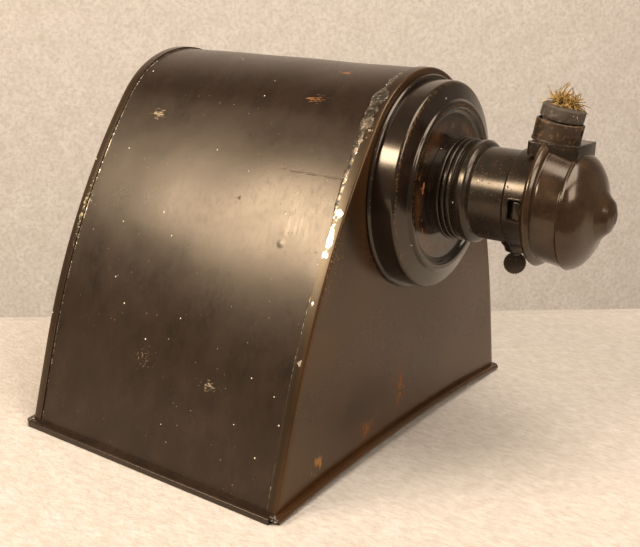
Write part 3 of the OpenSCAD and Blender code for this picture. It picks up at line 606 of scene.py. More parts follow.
def walled(path: Sequence[Vector], thickness: float) -> list[Vector]:
    """Close an open profile into a wall of sheet to the left of its way.

    Args:
        path: Points of the outside.
        thickness: Thickness of the sheet.

    Returns:
        The closed profile, outside first.
    """
    inner: list[Vector] = []
    for i, point in enumerate(path):
        before = (path[max(i, 1)] - path[max(i, 1) - 1]).normalized()
        after = (path[min(i + 1, len(path) - 1)] - path[min(i + 1, len(path) - 1) - 1]).normalized()
        normal = Vector((-before.y - after.y, before.x + after.x)) / (1 + before.dot(after))
        moved = point + normal * thickness
        inner.append(Vector((moved.x, max(moved.y, 0.0))))
    return list(path) + inner[::-1]


def stored(mesh: bmesh.types.BMesh, name: str) -> bpy.types.Mesh:
    """Store a working mesh under a name, and free it."""
    data = bpy.data.meshes.new(name)
    mesh.to_mesh(data)
    mesh.free()
    return data


def placed(name: str, data: bpy.types.ID | None) -> bpy.types.Object:
    """Make an object of some data and put it in the scene."""
    piece = bpy.data.objects.new(name, data)
    bpy.context.scene.collection.objects.link(piece)
    return piece


@dataclass(frozen=True)
class Axle:
    """Axis that a turned piece is made round, in millimetres."""

    origin: Vector
    along: Vector
    away: Vector

    def at(self, station: float, radius: float, degrees: float = 0.0) -> Vector:
        """Return the point at a station, a radius and a turn round the axis."""
        side = self.along.cross(self.away)
        turn = math.radians(degrees)
        out = self.away * math.cos(turn) + side * math.sin(turn)
        return self.origin + self.along * station + out * radius


LAMP_AXLE = Axle(Vector((LAMP_FACE, 0, AXIS_Z)), Vector((1, 0, 0)), Vector((0, 0, 1)))
LENS_AXLE = Axle(Vector((LENS_FACE, 0, AXIS_Z)), Vector((-1, 0, 0)), Vector((0, 0, 1)))


class Bench:
    """Makes meshes with bmesh operators and turns them into dressed pieces."""

    def __init__(self, finishes: Finishes) -> None:
        """Keep the finishes that pieces are dressed with."""
        self.finishes = finishes

    def turn(self, axle: Axle, profile: Sequence[Vector], closed: bool = True,
            steps: int = STEPS) -> bmesh.types.BMesh:
        """Turn a profile round an axle.

        Args:
            axle: Axis of the piece.
            profile: Way along and away from the axis at each point.
            closed: Whether the last point joins the first.
            steps: Pieces of the full turn.

        Returns:
            The turned mesh.
        """
        mesh = bmesh.new()
        self.wire(mesh, [axle.at(p.x, p.y) for p in profile], closed)
        bmesh.ops.spin(
            mesh, geom=mesh.verts[:] + mesh.edges[:], cent=axle.origin, axis=axle.along,
            dvec=(0, 0, 0), angle=math.tau, steps=steps, use_merge=True,
        )
        bmesh.ops.remove_doubles(mesh, verts=mesh.verts[:], dist=MERGE)
        return mesh

    @staticmethod
    def wire(mesh: bmesh.types.BMesh, points: Iterable[Vector], closed: bool) -> list[bmesh.types.BMVert]:
        """Add a line of joined points to a mesh, and close it where asked."""
        verts = [mesh.verts.new(p) for p in points]
        for a, b in zip(verts, verts[1:]):
            mesh.edges.new((a, b))
        if closed:
            mesh.edges.new((verts[-1], verts[0]))
        return verts

    def loft(self, rows: Sequence[Sequence[Vector]], closed: bool = True,
            ends: bool = True) -> bmesh.types.BMesh:
        """Extrude a row of points from place to place.

        Args:
            rows: The places of the row, one after another.
            closed: Whether each row is a loop.
            ends: Whether the first and last loop are filled.

        Returns:
            The lofted mesh.
        """
        mesh = bmesh.new()
        verts = self.wire(mesh, rows[0], closed)
        first = verts
        for row in rows[1:]:
            edges = [mesh.edges.get((a, b)) for a, b in zip(verts, verts[1:])]
            if closed:
                edges.append(mesh.edges.get((verts[-1], verts[0])))
            made = set(bmesh.ops.extrude_edge_only(mesh, edges=edges)["geom"])
            verts = [next(e.other_vert(v) for e in v.link_edges if e.other_vert(v) in made) for v in verts]
            for vert, point in zip(verts, row):
                vert.co = point
        if closed and ends:
            for loop in (first, verts):
                bmesh.ops.contextual_create(mesh, geom=loop)
        return mesh

    def slab(self, outline: Sequence[Vector], lift: Vector, bevel: float) -> bmesh.types.BMesh:
        """Extrude a flat outline and round its edges.

        Args:
            outline: Corners of the flat face.
            lift: Way and length of the extrusion.
            bevel: Size of the rounded edges.

        Returns:
            The rounded block.
        """
        mesh = bmesh.new()
        face = mesh.faces.new([mesh.verts.new(p) for p in outline])
        made = bmesh.ops.extrude_face_region(mesh, geom=[face])["geom"]
        bmesh.ops.translate(mesh, verts=[g for g in made if isinstance(g, bmesh.types.BMVert)], vec=lift)
        if bevel:
            bmesh.ops.bevel(
                mesh, geom=mesh.edges[:], offset=bevel, affect="EDGES", segments=3, profile=0.5, material=-1
            )
        return mesh

    @staticmethod
    def ripple(mesh: bmesh.types.BMesh, amount: float, size: float, seed: float = 0.0) -> None:
        """Move each point along its normal by smooth noise, as hand work does.

        Args:
            mesh: Mesh to work on.
            amount: Largest move.
            size: Size of the waves.
            seed: Shift of the noise.
        """
        mesh.normal_update()
        shift = Vector((seed, seed, seed))
        moves = [noise.noise(v.co / size + shift) * amount * v.normal for v in mesh.verts]
        for vert, move in zip(mesh.verts, moves):
            vert.co += move

    def finish(
        self, mesh: bmesh.types.BMesh, name: str, body: Body, slot: str,
        finish: Finish | Glass | None = None, replaces: Sequence[str] = (), sharp: float = 40.0,
        cutters: Sequence[bmesh.types.BMesh] = (),
    ) -> bpy.types.Object:
        """Turn a mesh in millimetres into a dressed piece of the lantern.

        Args:
            mesh: Mesh to finish; it is freed.
            name: Name of the piece.
            body: Body that it rides on.
            slot: Record slot that it takes its finish from.
            finish: Finish to use instead of the slot's own.
            replaces: CAD nodes that it stands for.
            sharp: Angle in degrees from which an edge shows as an edge.
            cutters: Meshes that are cut out of it.

        Returns:
            The new object.
        """
        data = self.data(mesh, name)
        for i, cutter in enumerate(cutters):
            data = self.cut(data, self.data(cutter, f"{name}_cutter_{i}"))
        data.shade_smooth()
        data.set_sharp_from_angle(angle=math.radians(sharp))
        data.materials.clear()
        data.materials.append(self.finishes.get(finish or Finishes.BY_SLOT[slot]))
        data.name = name
        piece = placed(name, data)
        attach(piece, body.value)
        if replaces:
            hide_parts(*replaces)
        log.info("%s: %d faces on %s", name, len(data.polygons), body.value)
        return piece

    @staticmethod
    def data(mesh: bmesh.types.BMesh, name: str) -> bpy.types.Mesh:
        """Merge, turn outwards, bring to metres and store a mesh."""
        bmesh.ops.remove_doubles(mesh, verts=mesh.verts[:], dist=MERGE)
        bmesh.ops.recalc_face_normals(mesh, faces=mesh.faces[:])
        bmesh.ops.scale(mesh, vec=(MM, MM, MM), verts=mesh.verts[:])
        return stored(mesh, name)

    @staticmethod
    def cut(data: bpy.types.Mesh, tool: bpy.types.Mesh) -> bpy.types.Mesh:
        """Cut one mesh out of another and return the result."""
        pieces = [placed("work", data), placed("tool", tool)]
        modifier = pieces[0].modifiers.new("cut", "BOOLEAN")
        modifier.operation, modifier.solver, modifier.object = "DIFFERENCE", "EXACT", pieces[1]
        bpy.context.view_layer.update()
        seen = pieces[0].evaluated_get(bpy.context.evaluated_depsgraph_get())
        result = bpy.data.meshes.new_from_object(seen)
        for piece in pieces:
            bpy.data.objects.remove(piece)
        return result


# ---------------------------------------------------------------- lamp house


@dataclass
class LampHouse:
    """Curved tin sheet between two end plates, with hems and soldered laps."""

    bench: Bench
    length: float = 122.0
    depth: float = 177.0
    height: float = 147.0
    crown: float = 42.7
    slope: float = 75.3
    straight: float = 36.3
    sheet: float = 0.6
    lap: float = 4.0
    fold: float = 0.7
    arch_rise: float = 4.1
    hem_reach: float = 2.6
    hem_height: float = 2.6
    plate_hole: float = 36.9
    step: float = 2.4

    def half(self, inset: float, low: float) -> list[Vector]:
        """Return the (y, z) outline from the front foot to the crown's top.

        Args:
            inset: How far the outline is moved inwards.
            low: Height at which it starts.

        Returns:
            Points about one step apart.
        """
        slope = math.radians(self.slope)
        along = Vector((math.cos(slope), math.sin(slope)))
        inward = Vector((math.sin(slope), -math.cos(slope)))
        crown_mid = Vector((0, self.height - self.crown))
        foot = Vector((-self.depth / 2, 0)) + along * self.straight
        gap = foot - crown_mid
        arc = (self.crown**2 - gap.length_squared) / (2 * (gap.dot(inward) + self.crown))
        arc_mid = foot + inward * arc
        way = (crown_mid - arc_mid).normalized()
        corner = foot + inward * inset
        start = Vector((corner.x - (corner.y - low) * along.x / along.y, low))
        points = [start.lerp(corner, i / 16) for i in range(16)]
        for mid, radius, end in ((arc_mid, arc - inset, way),
                (crown_mid, self.crown - inset, Vector((0, 1)))):
            begin = (corner - mid).normalized() if mid is arc_mid else way
            first, last = math.atan2(begin.y, begin.x), math.atan2(end.y, end.x)
            first += math.tau if first < 0 else 0
            count = max(4, round(abs(last - first) * radius / self.step))
            points += [
                mid + radius * Vector((math.cos(a), math.sin(a)))
                for a in (first + (last - first) * i / count for i in range(count))
            ]
        return points + [Vector((0, self.height - inset))]

    def outline(self, inset: float = 0.0, low: float = 0.0) -> list[Vector]:
        """Return the whole (y, z) outline, front foot to back foot."""
        front = self.half(inset, low)
        return front + [Vector((-p.x, p.y)) for p in front[-2::-1]]

    def arch(self, y: float) -> float:
        """Return the height of the end plates' arched foot at y."""
        radius = (self.depth**2 / 4 + self.arch_rise**2) / (2 * self.arch_rise)
        return self.arch_rise - radius + math.sqrt(max(radius**2 - y**2, 0.0))

    def build(self) -> None:
        """Build and dress every piece of the house."""
        self.hood()
        for name, face, out in (("end_plate_lamp", LAMP_FACE, 1), ("end_plate_lens", LENS_FACE, -1)):
            self.end_plate(name, face, out, self.plate_hole if out > 0 else 16.5)
        self.front_and_back_hems()
        self.seams()

    def hood(self) -> None:
        """Curved sheet over front, crown and back."""
        path = self.outline(self.sheet, low=0.4)
        count = 46
        run = self.length - 2 * self.sheet
        rows = [
            [Vector((HOUSE_X - run / 2 + run * i / count, p.x, p.y)) for p in path] for i in range(count + 1)
        ]
        mesh = self.bench.loft(rows, closed=False)
        bmesh.ops.recalc_face_normals(mesh, faces=mesh.faces[:])
        self.bench.ripple(mesh, 0.3, 32.0, seed=2.0)
        self.bench.ripple(mesh, 0.025, 7.0, seed=5.0)
        middle = min(mesh.faces, key=lambda f: abs(f.calc_center_median().y) + abs(f.calc_center_median().x))
        middle.normal_update()
        inward = -1 if middle.normal.z > 0 else 1
        bmesh.ops.solidify(mesh, geom=mesh.faces[:], thickness=-inward * self.sheet)
        self.bench.finish(mesh, "hood", Body.HOUSE, "japanned_tin", replaces=["hood_sheet"])

    def end_plate(self, name: str, face: float, out: int, hole: float) -> None:
        """End plate with a rounded lap over the sheet and an arched hem.

        Args:
            name: Name of the CAD node that it stands for.
            face: Place of its outer face along X.
            out: 1 where it faces +X, -1 where it faces -X.
            hole: Radius of its opening.
        """
        arch_y = [self.depth / 2 * (1 - 2 * i / 72) for i in range(1, 72)]
        rims = {}
        for inset in (0.0, self.sheet):
            rims[inset] = self.outline(inset, low=0.0) + [Vector((y, self.arch(y))) for y in arch_y]
        outer, inner = rims[0.0], rims[self.sheet]
        side = len(self.outline())
        laps = [self.lap if i < side else self.sheet for i in range(len(outer))]
        middle = Vector((0, AXIS_Z))
        mouth = [middle + (p - middle).normalized() * hole for p in outer]

        def row(
            source: list[Vector], goal: list[Vector], mix: float, back: Callable[[int], float]
        ) -> list[Vector]:
            """Return one loop between two loops, each point set back from the face."""
            pairs = enumerate(zip(source, goal))
            return [Vector((face - out * back(i), *a.lerp(b, mix))) for i, (a, b) in pairs]

        edge = self.fold
        rows = [row(inner, inner, 0, lambda i: laps[i]), row(outer, outer, 0, lambda i: laps[i])]
        rows.append(row(outer, outer, 0, lambda i: min(edge, laps[i])))
        for turn in (30, 60, 90):
            sink = edge * (1 - math.sin(math.radians(turn)))
            shift = edge * (1 - math.cos(math.radians(turn)))
            shifted = [p + (q - p).normalized() * shift for p, q in zip(outer, inner[:side] + mouth[side:])]
            rows.append(row(shifted, shifted, 0, lambda i, s=sink: min(s, laps[i])))
        rows += [row(shifted, mouth, t / 16, lambda i: 0.0) for t in range(1, 17)]
        rows += [row(mouth, inner, t / 4, lambda i: self.sheet) for t in range(5)]
        mesh = self.bench.loft(rows + [rows[0]], ends=False)
        bmesh.ops.remove_doubles(mesh, verts=mesh.verts[:], dist=MERGE)
        bmesh.ops.recalc_face_normals(mesh, faces=mesh.faces[:])
        for vert in mesh.verts:
            inner_part = min(1.0, max(0.0, (Vector((vert.co.y, vert.co.z)) - middle).length - hole) / 20)
            vert.co.x -= out * 0.3 * inner_part * max(noise.noise(vert.co / 45), 0.0)
        self.bench.finish(mesh, name + "_sheet", Body.HOUSE, "japanned_plate", replaces=[name])
        self.arch_hem(name, face, out)

    def arch_hem(self, name: str, face: float, out: int) -> None:
        """Rolled hem that follows the arch under an end plate."""
        half = self.depth / 2 + 0.4
        round_part = self.hem_height / 2
        rows = []
        for i in range(81):
            y = -half + 2 * half * i / 80
            z = self.arch(y)
            swell = 1 - 0.06 * abs(noise.noise(Vector((y / 14, face, 0))))
            ring_points = [Vector((-0.3, 0.05)), Vector((self.hem_reach - round_part, 0.02))]
            ring_points += [
                Vector((self.hem_reach - round_part, round_part))
                + round_part * swell * Vector((math.cos(a), math.sin(a)))
                for a in (math.radians(t) for t in range(-75, 90, 15))
            ]
            ring_points.append(Vector((self.hem_reach - round_part, self.hem_height - 0.02)))
            ring_points.append(Vector((-0.3, self.hem_height - 0.1)))
            rows.append([Vector((face + out * p.x, y, z + p.y)) for p in ring_points])
        mesh = self.bench.loft(rows)
        self.bench.finish(mesh, name + "_hem", Body.HOUSE, "japanned_plate", replaces=[name])

    def front_and_back_hems(self) -> None:
        """Folded hems along the foot of the front and the back."""
        run = self.length - 1.6
        for side, label in ((-1, "front"), (1, "back")):
            rows = []
            for i in range(49):
                x = HOUSE_X - self.length / 2 + 0.6 + run * i / 48
                wave = -0.1 * abs(noise.noise(Vector((x / 16, side, 0))))
                base = self.depth / 2
                points = rounded(
                    [
                        (base - 1.6, 0.0), (base + self.hem_reach, 0.0, 0.3),
                        (base + self.hem_reach, self.hem_height - 0.45, 0.3),
                        (base + self.hem_reach - 0.7, self.hem_height, 0.4),
                        (base - 1.6, self.hem_height),
                    ],
                    3,
                )
                rows.append([Vector((x, side * (p.x + (wave if p.x > base else 0)), p.y)) for p in points])
            mesh = self.bench.loft(rows)
            self.bench.finish(mesh, f"hem_{label}", Body.HOUSE, "japanned_tin", replaces=["hood_sheet"])
        for x, y in ((LAMP_FACE, -1), (LAMP_FACE, 1), (LENS_FACE, -1), (LENS_FACE, 1)):
            blob = bmesh.new()
            bmesh.ops.create_uvsphere(blob, u_segments=24, v_segments=16, radius=1.0)
            bmesh.ops.scale(blob, vec=(1.9, 1.6, 1.1), verts=blob.verts[:])
            self.bench.ripple(blob, 0.5, 1.1, seed=x)
            bmesh.ops.translate(blob, vec=(x, y * (self.depth / 2 + 0.3), 1.8), verts=blob.verts[:])
            label = f"hem_solder_{'lamp' if x > 0 else 'lens'}_{'front' if y < 0 else 'back'}"
            self.bench.finish(blob, label, Body.HOUSE, "solder", Finishes.SOLDER)

    def seams(self) -> None:
        """Lumpy solder along the edge of each lap."""
        path = self.outline()
        for label, edge, out in (("lamp", LAMP_FACE - self.lap, 1), ("lens", LENS_FACE + self.lap, -1)):
            rows = []
            for i in range(1, len(path) - 1):
                here, after = path[i], path[min(i + 1, len(path) - 1)]
                way = (after - path[i - 1]).normalized()
                normal = Vector((-way.y, way.x))
                crown = math.exp(-(((here.x + 30) / 22) ** 2)) * (1 if here.y > 100 and out > 0 else 0)
                rough = noise.noise(Vector((here.x / 5, here.y / 5, out))) + 0.6 * noise.noise(
                    Vector((here.x / 1.9, here.y / 1.9, out + 3))
                )
                wide = 0.5 + 0.25 * rough + 2.6 * crown * (1 + 0.6 * rough)
                tall = 0.14 + 0.08 * rough + 0.55 * crown * (1 + 0.8 * rough)
                wide, tall = max(wide, 0.25), max(tall, 0.06)
                rows.append(
                    [
                        Vector((
                            edge - out * (0.2 + wide * math.cos(a)),
                            *(here + normal * (tall * math.sin(a) - 0.62)),
                        ))
                        for a in (math.pi * t / 6 for t in range(7))
                    ]
                    + [Vector((edge, *(here - normal * 0.9)))]
                )
            mesh = self.bench.loft(rows)
            self.bench.finish(mesh, f"seam_{label}", Body.HOUSE, "solder", Finishes.SOLDER)


# ---------------------------------------------------------------- lamp cover


@dataclass
class LampCover:
    """Collar on the end plate and the stepped cover pushed over it."""

    bench: Bench
    radius: float = 38.7
    depth: float = 10.1
    sheet: float = 0.7
    bead: float = 31.8
    collar: float = 40.5
    rim: float = 1.7
    mouth: float = 16.1

    def build(self) -> None:
        """Build and dress the collar and the cover."""
        spigot = self.radius - self.sheet - 0.08
        collar = rounded(
            [
                (0.0, spigot - 0.9), (0.0, self.collar - 0.2, 0.2),
                (self.rim * 0.5, self.collar, 0.7), (self.rim, self.collar - 0.6, 0.6),
                (self.rim, spigot, 0.1), (self.depth - 1.7, spigot, 0.3),
                (self.depth - 1.7, spigot - 0.9),
            ],
            5,
        )
        mesh = self.bench.turn(LAMP_AXLE, collar)
        self.bench.finish(mesh, "collar", Body.HOUSE, "japanned_cover", replaces=["lamp_collar"])

        outside = rounded(
            [
                (self.rim + 0.1, self.radius), (self.depth, self.radius, 1.6),
                (12.05, self.bead + 0.5, 0.9), (13.25, self.bead - 0.3, 1.6),
                (13.3, self.bead - 2.7, 1.3), (11.8, self.bead - 3.5, 0.9),
                (11.3, self.bead - 4.6, 0.8), (11.3, self.mouth),
            ],
            6,
        )
        mesh = self.bench.turn(LAMP_AXLE, walled(outside, -self.sheet))
        self.bench.ripple(mesh, 0.12, 13.0)
        self.bench.finish(mesh, "cover", Body.LAMP_UNIT, "japanned_cover", replaces=["lamp_cover"])


# ---------------------------------------------------------------- lamp holder


@dataclass
class LampHolder:
    """Shade ring, brass shell, latch and cap of the turn-key lamp holder."""

    bench: Bench
    mouth: float = 16.05
    narrow: float = 16.75
    wide: float = 17.85
    swell: float = 18.95
    ring_end: float = 21.1
    swell_end: float = 27.2
    narrow_end: float = 40.3
    wide_end: float = 48.9
    cap_mouth: float = 49.1
    dome_root: float = 62.0
    dome_end: float = 70.2
    dome: float = 20.3
    fullness: float = 0.3
    droop: float = 1.9
    turret_top: float = 21.5
    turret_half: float = 9.5
    reach: float = 74.55
    cap: float = 21.6
    brass: float = 0.6
    seat: float = 20.1
    window_drop: float = 1.2

    def build(self) -> None:
        """Build and dress every piece of the holder."""
        self.ring()
        self.shell()
        self.window()
        self.cap_and_dome()

    def ring(self) -> None:
        """Outer shade ring with three rolled ridges."""
        points: list[Sequence[float]] = [(11.3, self.mouth), (11.3, 17.7, 0.2), (15.3, 17.5, 0.2)]
        for station, radius in ((16.2, 19.2), (18.2, 18.95), (20.2, 18.75)):
            points += [(station - 0.75, radius, 0.55), (station + 0.75, radius, 0.55),
                (station + 0.9, 17.7, 0.2)]
        points += [(self.ring_end + 0.2, 17.7), (self.ring_end + 0.2, self.mouth)]
        mesh = self.bench.turn(LAMP_AXLE, rounded(points))
        self.bench.finish(mesh, "outer_shade_ring", Body.LAMP_UNIT, "bronzed_brass", replaces=["shade_ring"])

    def shell(self) -> None:
        """Brass shell with its swelled collar, key boss and latch window."""
        front = rounded(
            [
                (5.4, self.mouth), (self.ring_end + 0.1, self.mouth, 0.2),
                (self.ring_end + 0.3, self.swell - 1.2, 0.6),
                (self.ring_end + 2.2, self.swell - 0.2, 1.5),
                (self.ring_end + 4.6, self.swell, 1.5),
                (self.swell_end - 0.4, self.narrow + 1.3, 0.4),
                (self.swell_end, self.narrow + 0.7, 0.15),
                (self.swell_end + 0.35, self.narrow, 0.15), (self.narrow_end - 0.3, self.narrow),
            ],
            5,
        )
        mesh = self.bench.turn(LAMP_AXLE, walled(front, -self.brass))
        self.bench.finish(mesh, "shell_front", Body.LAMP_UNIT, "bronzed_brass", replaces=["holder_shell"])
        outside = rounded(
            [
                (self.narrow_end - 0.6, self.narrow - 0.1),
                (self.narrow_end - 0.5, self.narrow, 0.1), (self.narrow_end + 0.5, self.wide, 0.4),
                (self.wide_end - 1.3, self.wide, 0.8), (self.wide_end, self.wide + 1.0, 0.2),
                (self.wide_end + 0.1, self.seat - 0.4, 0.3),
                (self.wide_end + 0.7, self.seat + 0.6, 0.3), (self.wide_end + 4.4, self.seat + 0.6),
            ],
            5,
        )
        inside = [
            (self.wide_end + 4.4, self.seat), (self.wide_end + 1.1, self.seat),
            (self.wide_end + 0.7, self.wide + 0.3), (self.wide_end - 0.8, self.wide - self.brass),
            (self.narrow_end + 0.8, self.wide - self.brass),
            (self.narrow_end - 0.6, self.narrow - self.brass),
        ]
        mesh = self.bench.turn(LAMP_AXLE, outside + [Vector(p) for p in inside])
        window = self.latch_slab((42.6, 47.6), 3.7, -30, 22, 0.0)
        self.bench.finish(
            mesh, "shell_back", Body.LAMP_UNIT, "bronzed_brass", replaces=["holder_shell"], cutters=[window]
        )
        bore = Axle(Vector((LAMP_FACE + 40.5, 0, AXIS_Z)), Vector((0, 0, -1)), Vector((1, 0, 0)))
        boss = rounded(
            [(15.0, 2.1), (15.0, 6.4), (17.0, 5.6, 0.8), (18.3, 4.4, 0.8), (19.75, 3.9, 0.5),
                (19.8, 2.1, 0.2), (15.0, 2.1)], 4
        )
        mesh = self.bench.turn(bore, boss[:-1], True, 64)
        self.bench.finish(mesh, "key_boss", Body.LAMP_UNIT, "bronzed_brass", replaces=["holder_shell"])

    def window(self) -> None:
        """Raised lip round the latch window, and the latch's tongue in it."""
        corners = rounded(
            [(42.3, 0), (42.3, 4.3, 1.5), (48.0, 4.3, 1.0), (48.0, -4.3, 1.0), (42.3, -4.3, 1.5),
                (42.3, 0)], 5
        )[:-1]
        loop: list[Vector] = []
        for a, b in zip(corners, corners[1:] + corners[:1]):
            pieces = max(1, round((b - a).length / 0.7))
            loop += [a.lerp(b, k / pieces) for k in range(pieces)]
        rows = []
        centre = Vector((45.2, 0))
        for inset, rise in ((0.0, -0.3), (0.0, 0.12), (0.16, 0.42), (0.45, 0.5), (0.7, 0.4), (0.8, 0.1),
                (0.8, -0.4)):
            row = []
            for point in loop:
                shifted = point + (centre - point).normalized() * inset
                angle = (shifted.y - self.window_drop) / self.wide
                radius = self.wide + rise
                row.append(
                    Vector((LAMP_FACE + shifted.x, -radius * math.cos(angle),
                        AXIS_Z + radius * math.sin(angle)))
                )
            rows.append(row)
        mesh = self.bench.loft(rows + [rows[0]], ends=False)
        self.bench.finish(mesh, "latch_lip", Body.LAMP_UNIT, "bronzed_brass", replaces=["holder_shell"])

        for name, ends, front, lift, bevel in (
            ("latch_tongue", (44.6, 47.3), -15.4, -2.3, 0.35),
            ("latch_spring", (41.4, 54.4), -15.5, -0.6, 0.15),
        ):
            mesh = self.latch_slab(ends, 3.0, front, lift, bevel)
            self.bench.finish(mesh, name, Body.LAMP_UNIT, "bronzed_brass", replaces=["cap_latch"])

    def latch_slab(self, ends: Pair, half: float, front: float, lift: float,
            bevel: float) -> bmesh.types.BMesh:
        """Make a slab at the latch's height.

        Args:
            ends: Stations of its two ends along the holder.
            half: Half of its height.
            front: Place of its first face along Y.
            lift: How far it runs along Y from there.
            bevel: Size of its rounded edges.

        Returns:
            The slab.
        """
        sides = ((ends[0], -half), (ends[1], -half), (ends[1], half), (ends[0], half))
        outline = [Vector((LAMP_FACE + x, front, AXIS_Z - self.window_drop + z)) for x, z in sides]
        return self.bench.slab(outline, Vector((0, lift, 0)), bevel)

    def cap_and_dome(self) -> None:
        """Cap with a rolled mouth, a ridge at its dome's root and a nub."""
        bead = self.cap + 1.5
        points: list[Sequence[float]] = [
            (self.cap_mouth, self.cap - 1.1), (self.cap_mouth, bead - 0.9, 0.4),
            (self.cap_mouth + 1.4, bead + 0.1, 1.3), (self.cap_mouth + 2.9, bead - 1.1, 0.8),
            (self.cap_mouth + 3.3, self.dome + 0.5, 0.35),
            (self.dome_root - 1.3, self.dome + 0.1, 0.5),
            (self.dome_root - 0.6, self.dome + 0.45, 0.3), (self.dome_root, self.dome, 0.2),
        ]
        shrink = 1 - (6.6 / self.dome) ** 2
        for i in range(1, 22):
            way = i / 25
            fall = self.fullness * way + (1 - self.fullness) * way**2
            station = self.dome_root + (self.dome_end - self.dome_root) * way
            points.append((station, self.dome * math.sqrt(1 - shrink * fall)))
        points += [
            (self.dome_end - 0.1, 9.0, 2.5), (self.dome_end + 1.5, 7.0, 2.0),
            (self.dome_end + 3.3, 5.3, 2.0), (self.reach, 2.4, 1.6), (self.reach, 0.0),
        ]
        outside = rounded(points, 4)
        inside = [
            (self.reach - self.brass, 0.0), (self.reach - self.brass, 2.0),
            (self.dome_end - self.brass, 6.0), (self.dome_root + 4.0, self.dome - 4.6),
            (self.dome_root - 1.0, self.dome - 0.9), (self.cap_mouth, self.cap - 1.1),
        ]
        mesh = self.bench.turn(LAMP_AXLE, outside + [Vector(p) for p in inside[:-1]])
        self.bench.ripple(mesh, 0.2, 9.0, seed=1.0)
        self.hang(mesh)
        half = self.turret_half
        sides = ((45.0, -half), (62.2, -half), (62.2, half), (45.0, half))
        top = AXIS_Z + self.turret_top - 0.15
        flat = self.bench.slab([Vector((LAMP_FACE + x, y, top)) for x, y in sides], Vector((0, 0, 5)), 0.0)
        self.bench.finish(mesh, "cap", Body.LAMP_UNIT, "tarnished_cap", replaces=["holder_cap"],
            cutters=[flat])
        lining = [
            Vector((self.cap_mouth + 5.0, self.cap - 2.0)),
            Vector((self.dome_root - 1.5, self.dome - 1.4)),
            Vector((self.dome_root - 1.5, self.dome - 2.4)),
            Vector((self.cap_mouth + 5.0, self.cap - 3.0)),
        ]
        mesh = self.bench.turn(LAMP_AXLE, lining)
        self.hang(mesh)
        self.bench.finish(mesh, "lining", Body.LAMP_UNIT, "insulating_fibre", replaces=["cap_liner"])

    def hang(self, mesh: bmesh.types.BMesh) -> None:
        """Let the cap's far part hang a little, as a dropped cap does."""
        for vert in mesh.verts:
            past = (vert.co.x - LAMP_FACE - self.cap_mouth - 4) / (self.dome_root - self.cap_mouth - 4)
            vert.co.z -= self.droop * min(max(past, 0.0), 1.0)


@dataclass
class SwitchKey:
    """Round serrated leaf of the switch key on its shaft."""

    bench: Bench
    station: float = 40.5
    radius: float = 4.1
    thickness: float = 1.6
    teeth: int = 26
    turn: float = 33.0
    shaft: float = 1.6

    def build(self) -> None:
        """Build and dress the leaf and the shaft."""
        middle = Vector((LAMP_FACE + self.station, 0, AXIS_Z - 24.25))
        turn = Matrix.Rotation(math.radians(self.turn), 4, "Z")
        outline = []
        count = self.teeth * 4
        for i in range(count):
            deep = (0.0, 0.0, 0.16, 0.3)[i % 4]
            angle = math.tau * i / count
            outline.append(Vector((math.cos(angle), 0, math.sin(angle))) * (self.radius - deep))
        mesh = self.bench.slab(outline, Vector((0, self.thickness, 0)), 0.12)
        bmesh.ops.translate(mesh, vec=(0, -self.thickness / 2, 0), verts=mesh.verts[:])
        bmesh.ops.transform(mesh, matrix=Matrix.Translation(middle) @ turn, verts=mesh.verts[:])
        self.bench.finish(mesh, "leaf", Body.KEY, "bronzed_brass", replaces=["key_leaf"], sharp=30)
        axle = Axle(Vector((LAMP_FACE + self.station, 0, AXIS_Z)), Vector((0, 0, -1)), Vector((1, 0, 0)))
        profile = rounded(
            [(6.3, 0), (6.3, self.shaft, 0.2), (20.0, self.shaft, 0.1), (20.3, 2.2, 0.3),
                (21.3, 1.5, 0.3), (21.3, 0)]
        )
        mesh = self.bench.turn(axle, profile, False, 48)
        self.bench.finish(mesh, "shaft", Body.KEY, "bronzed_brass", replaces=["key_shaft"])


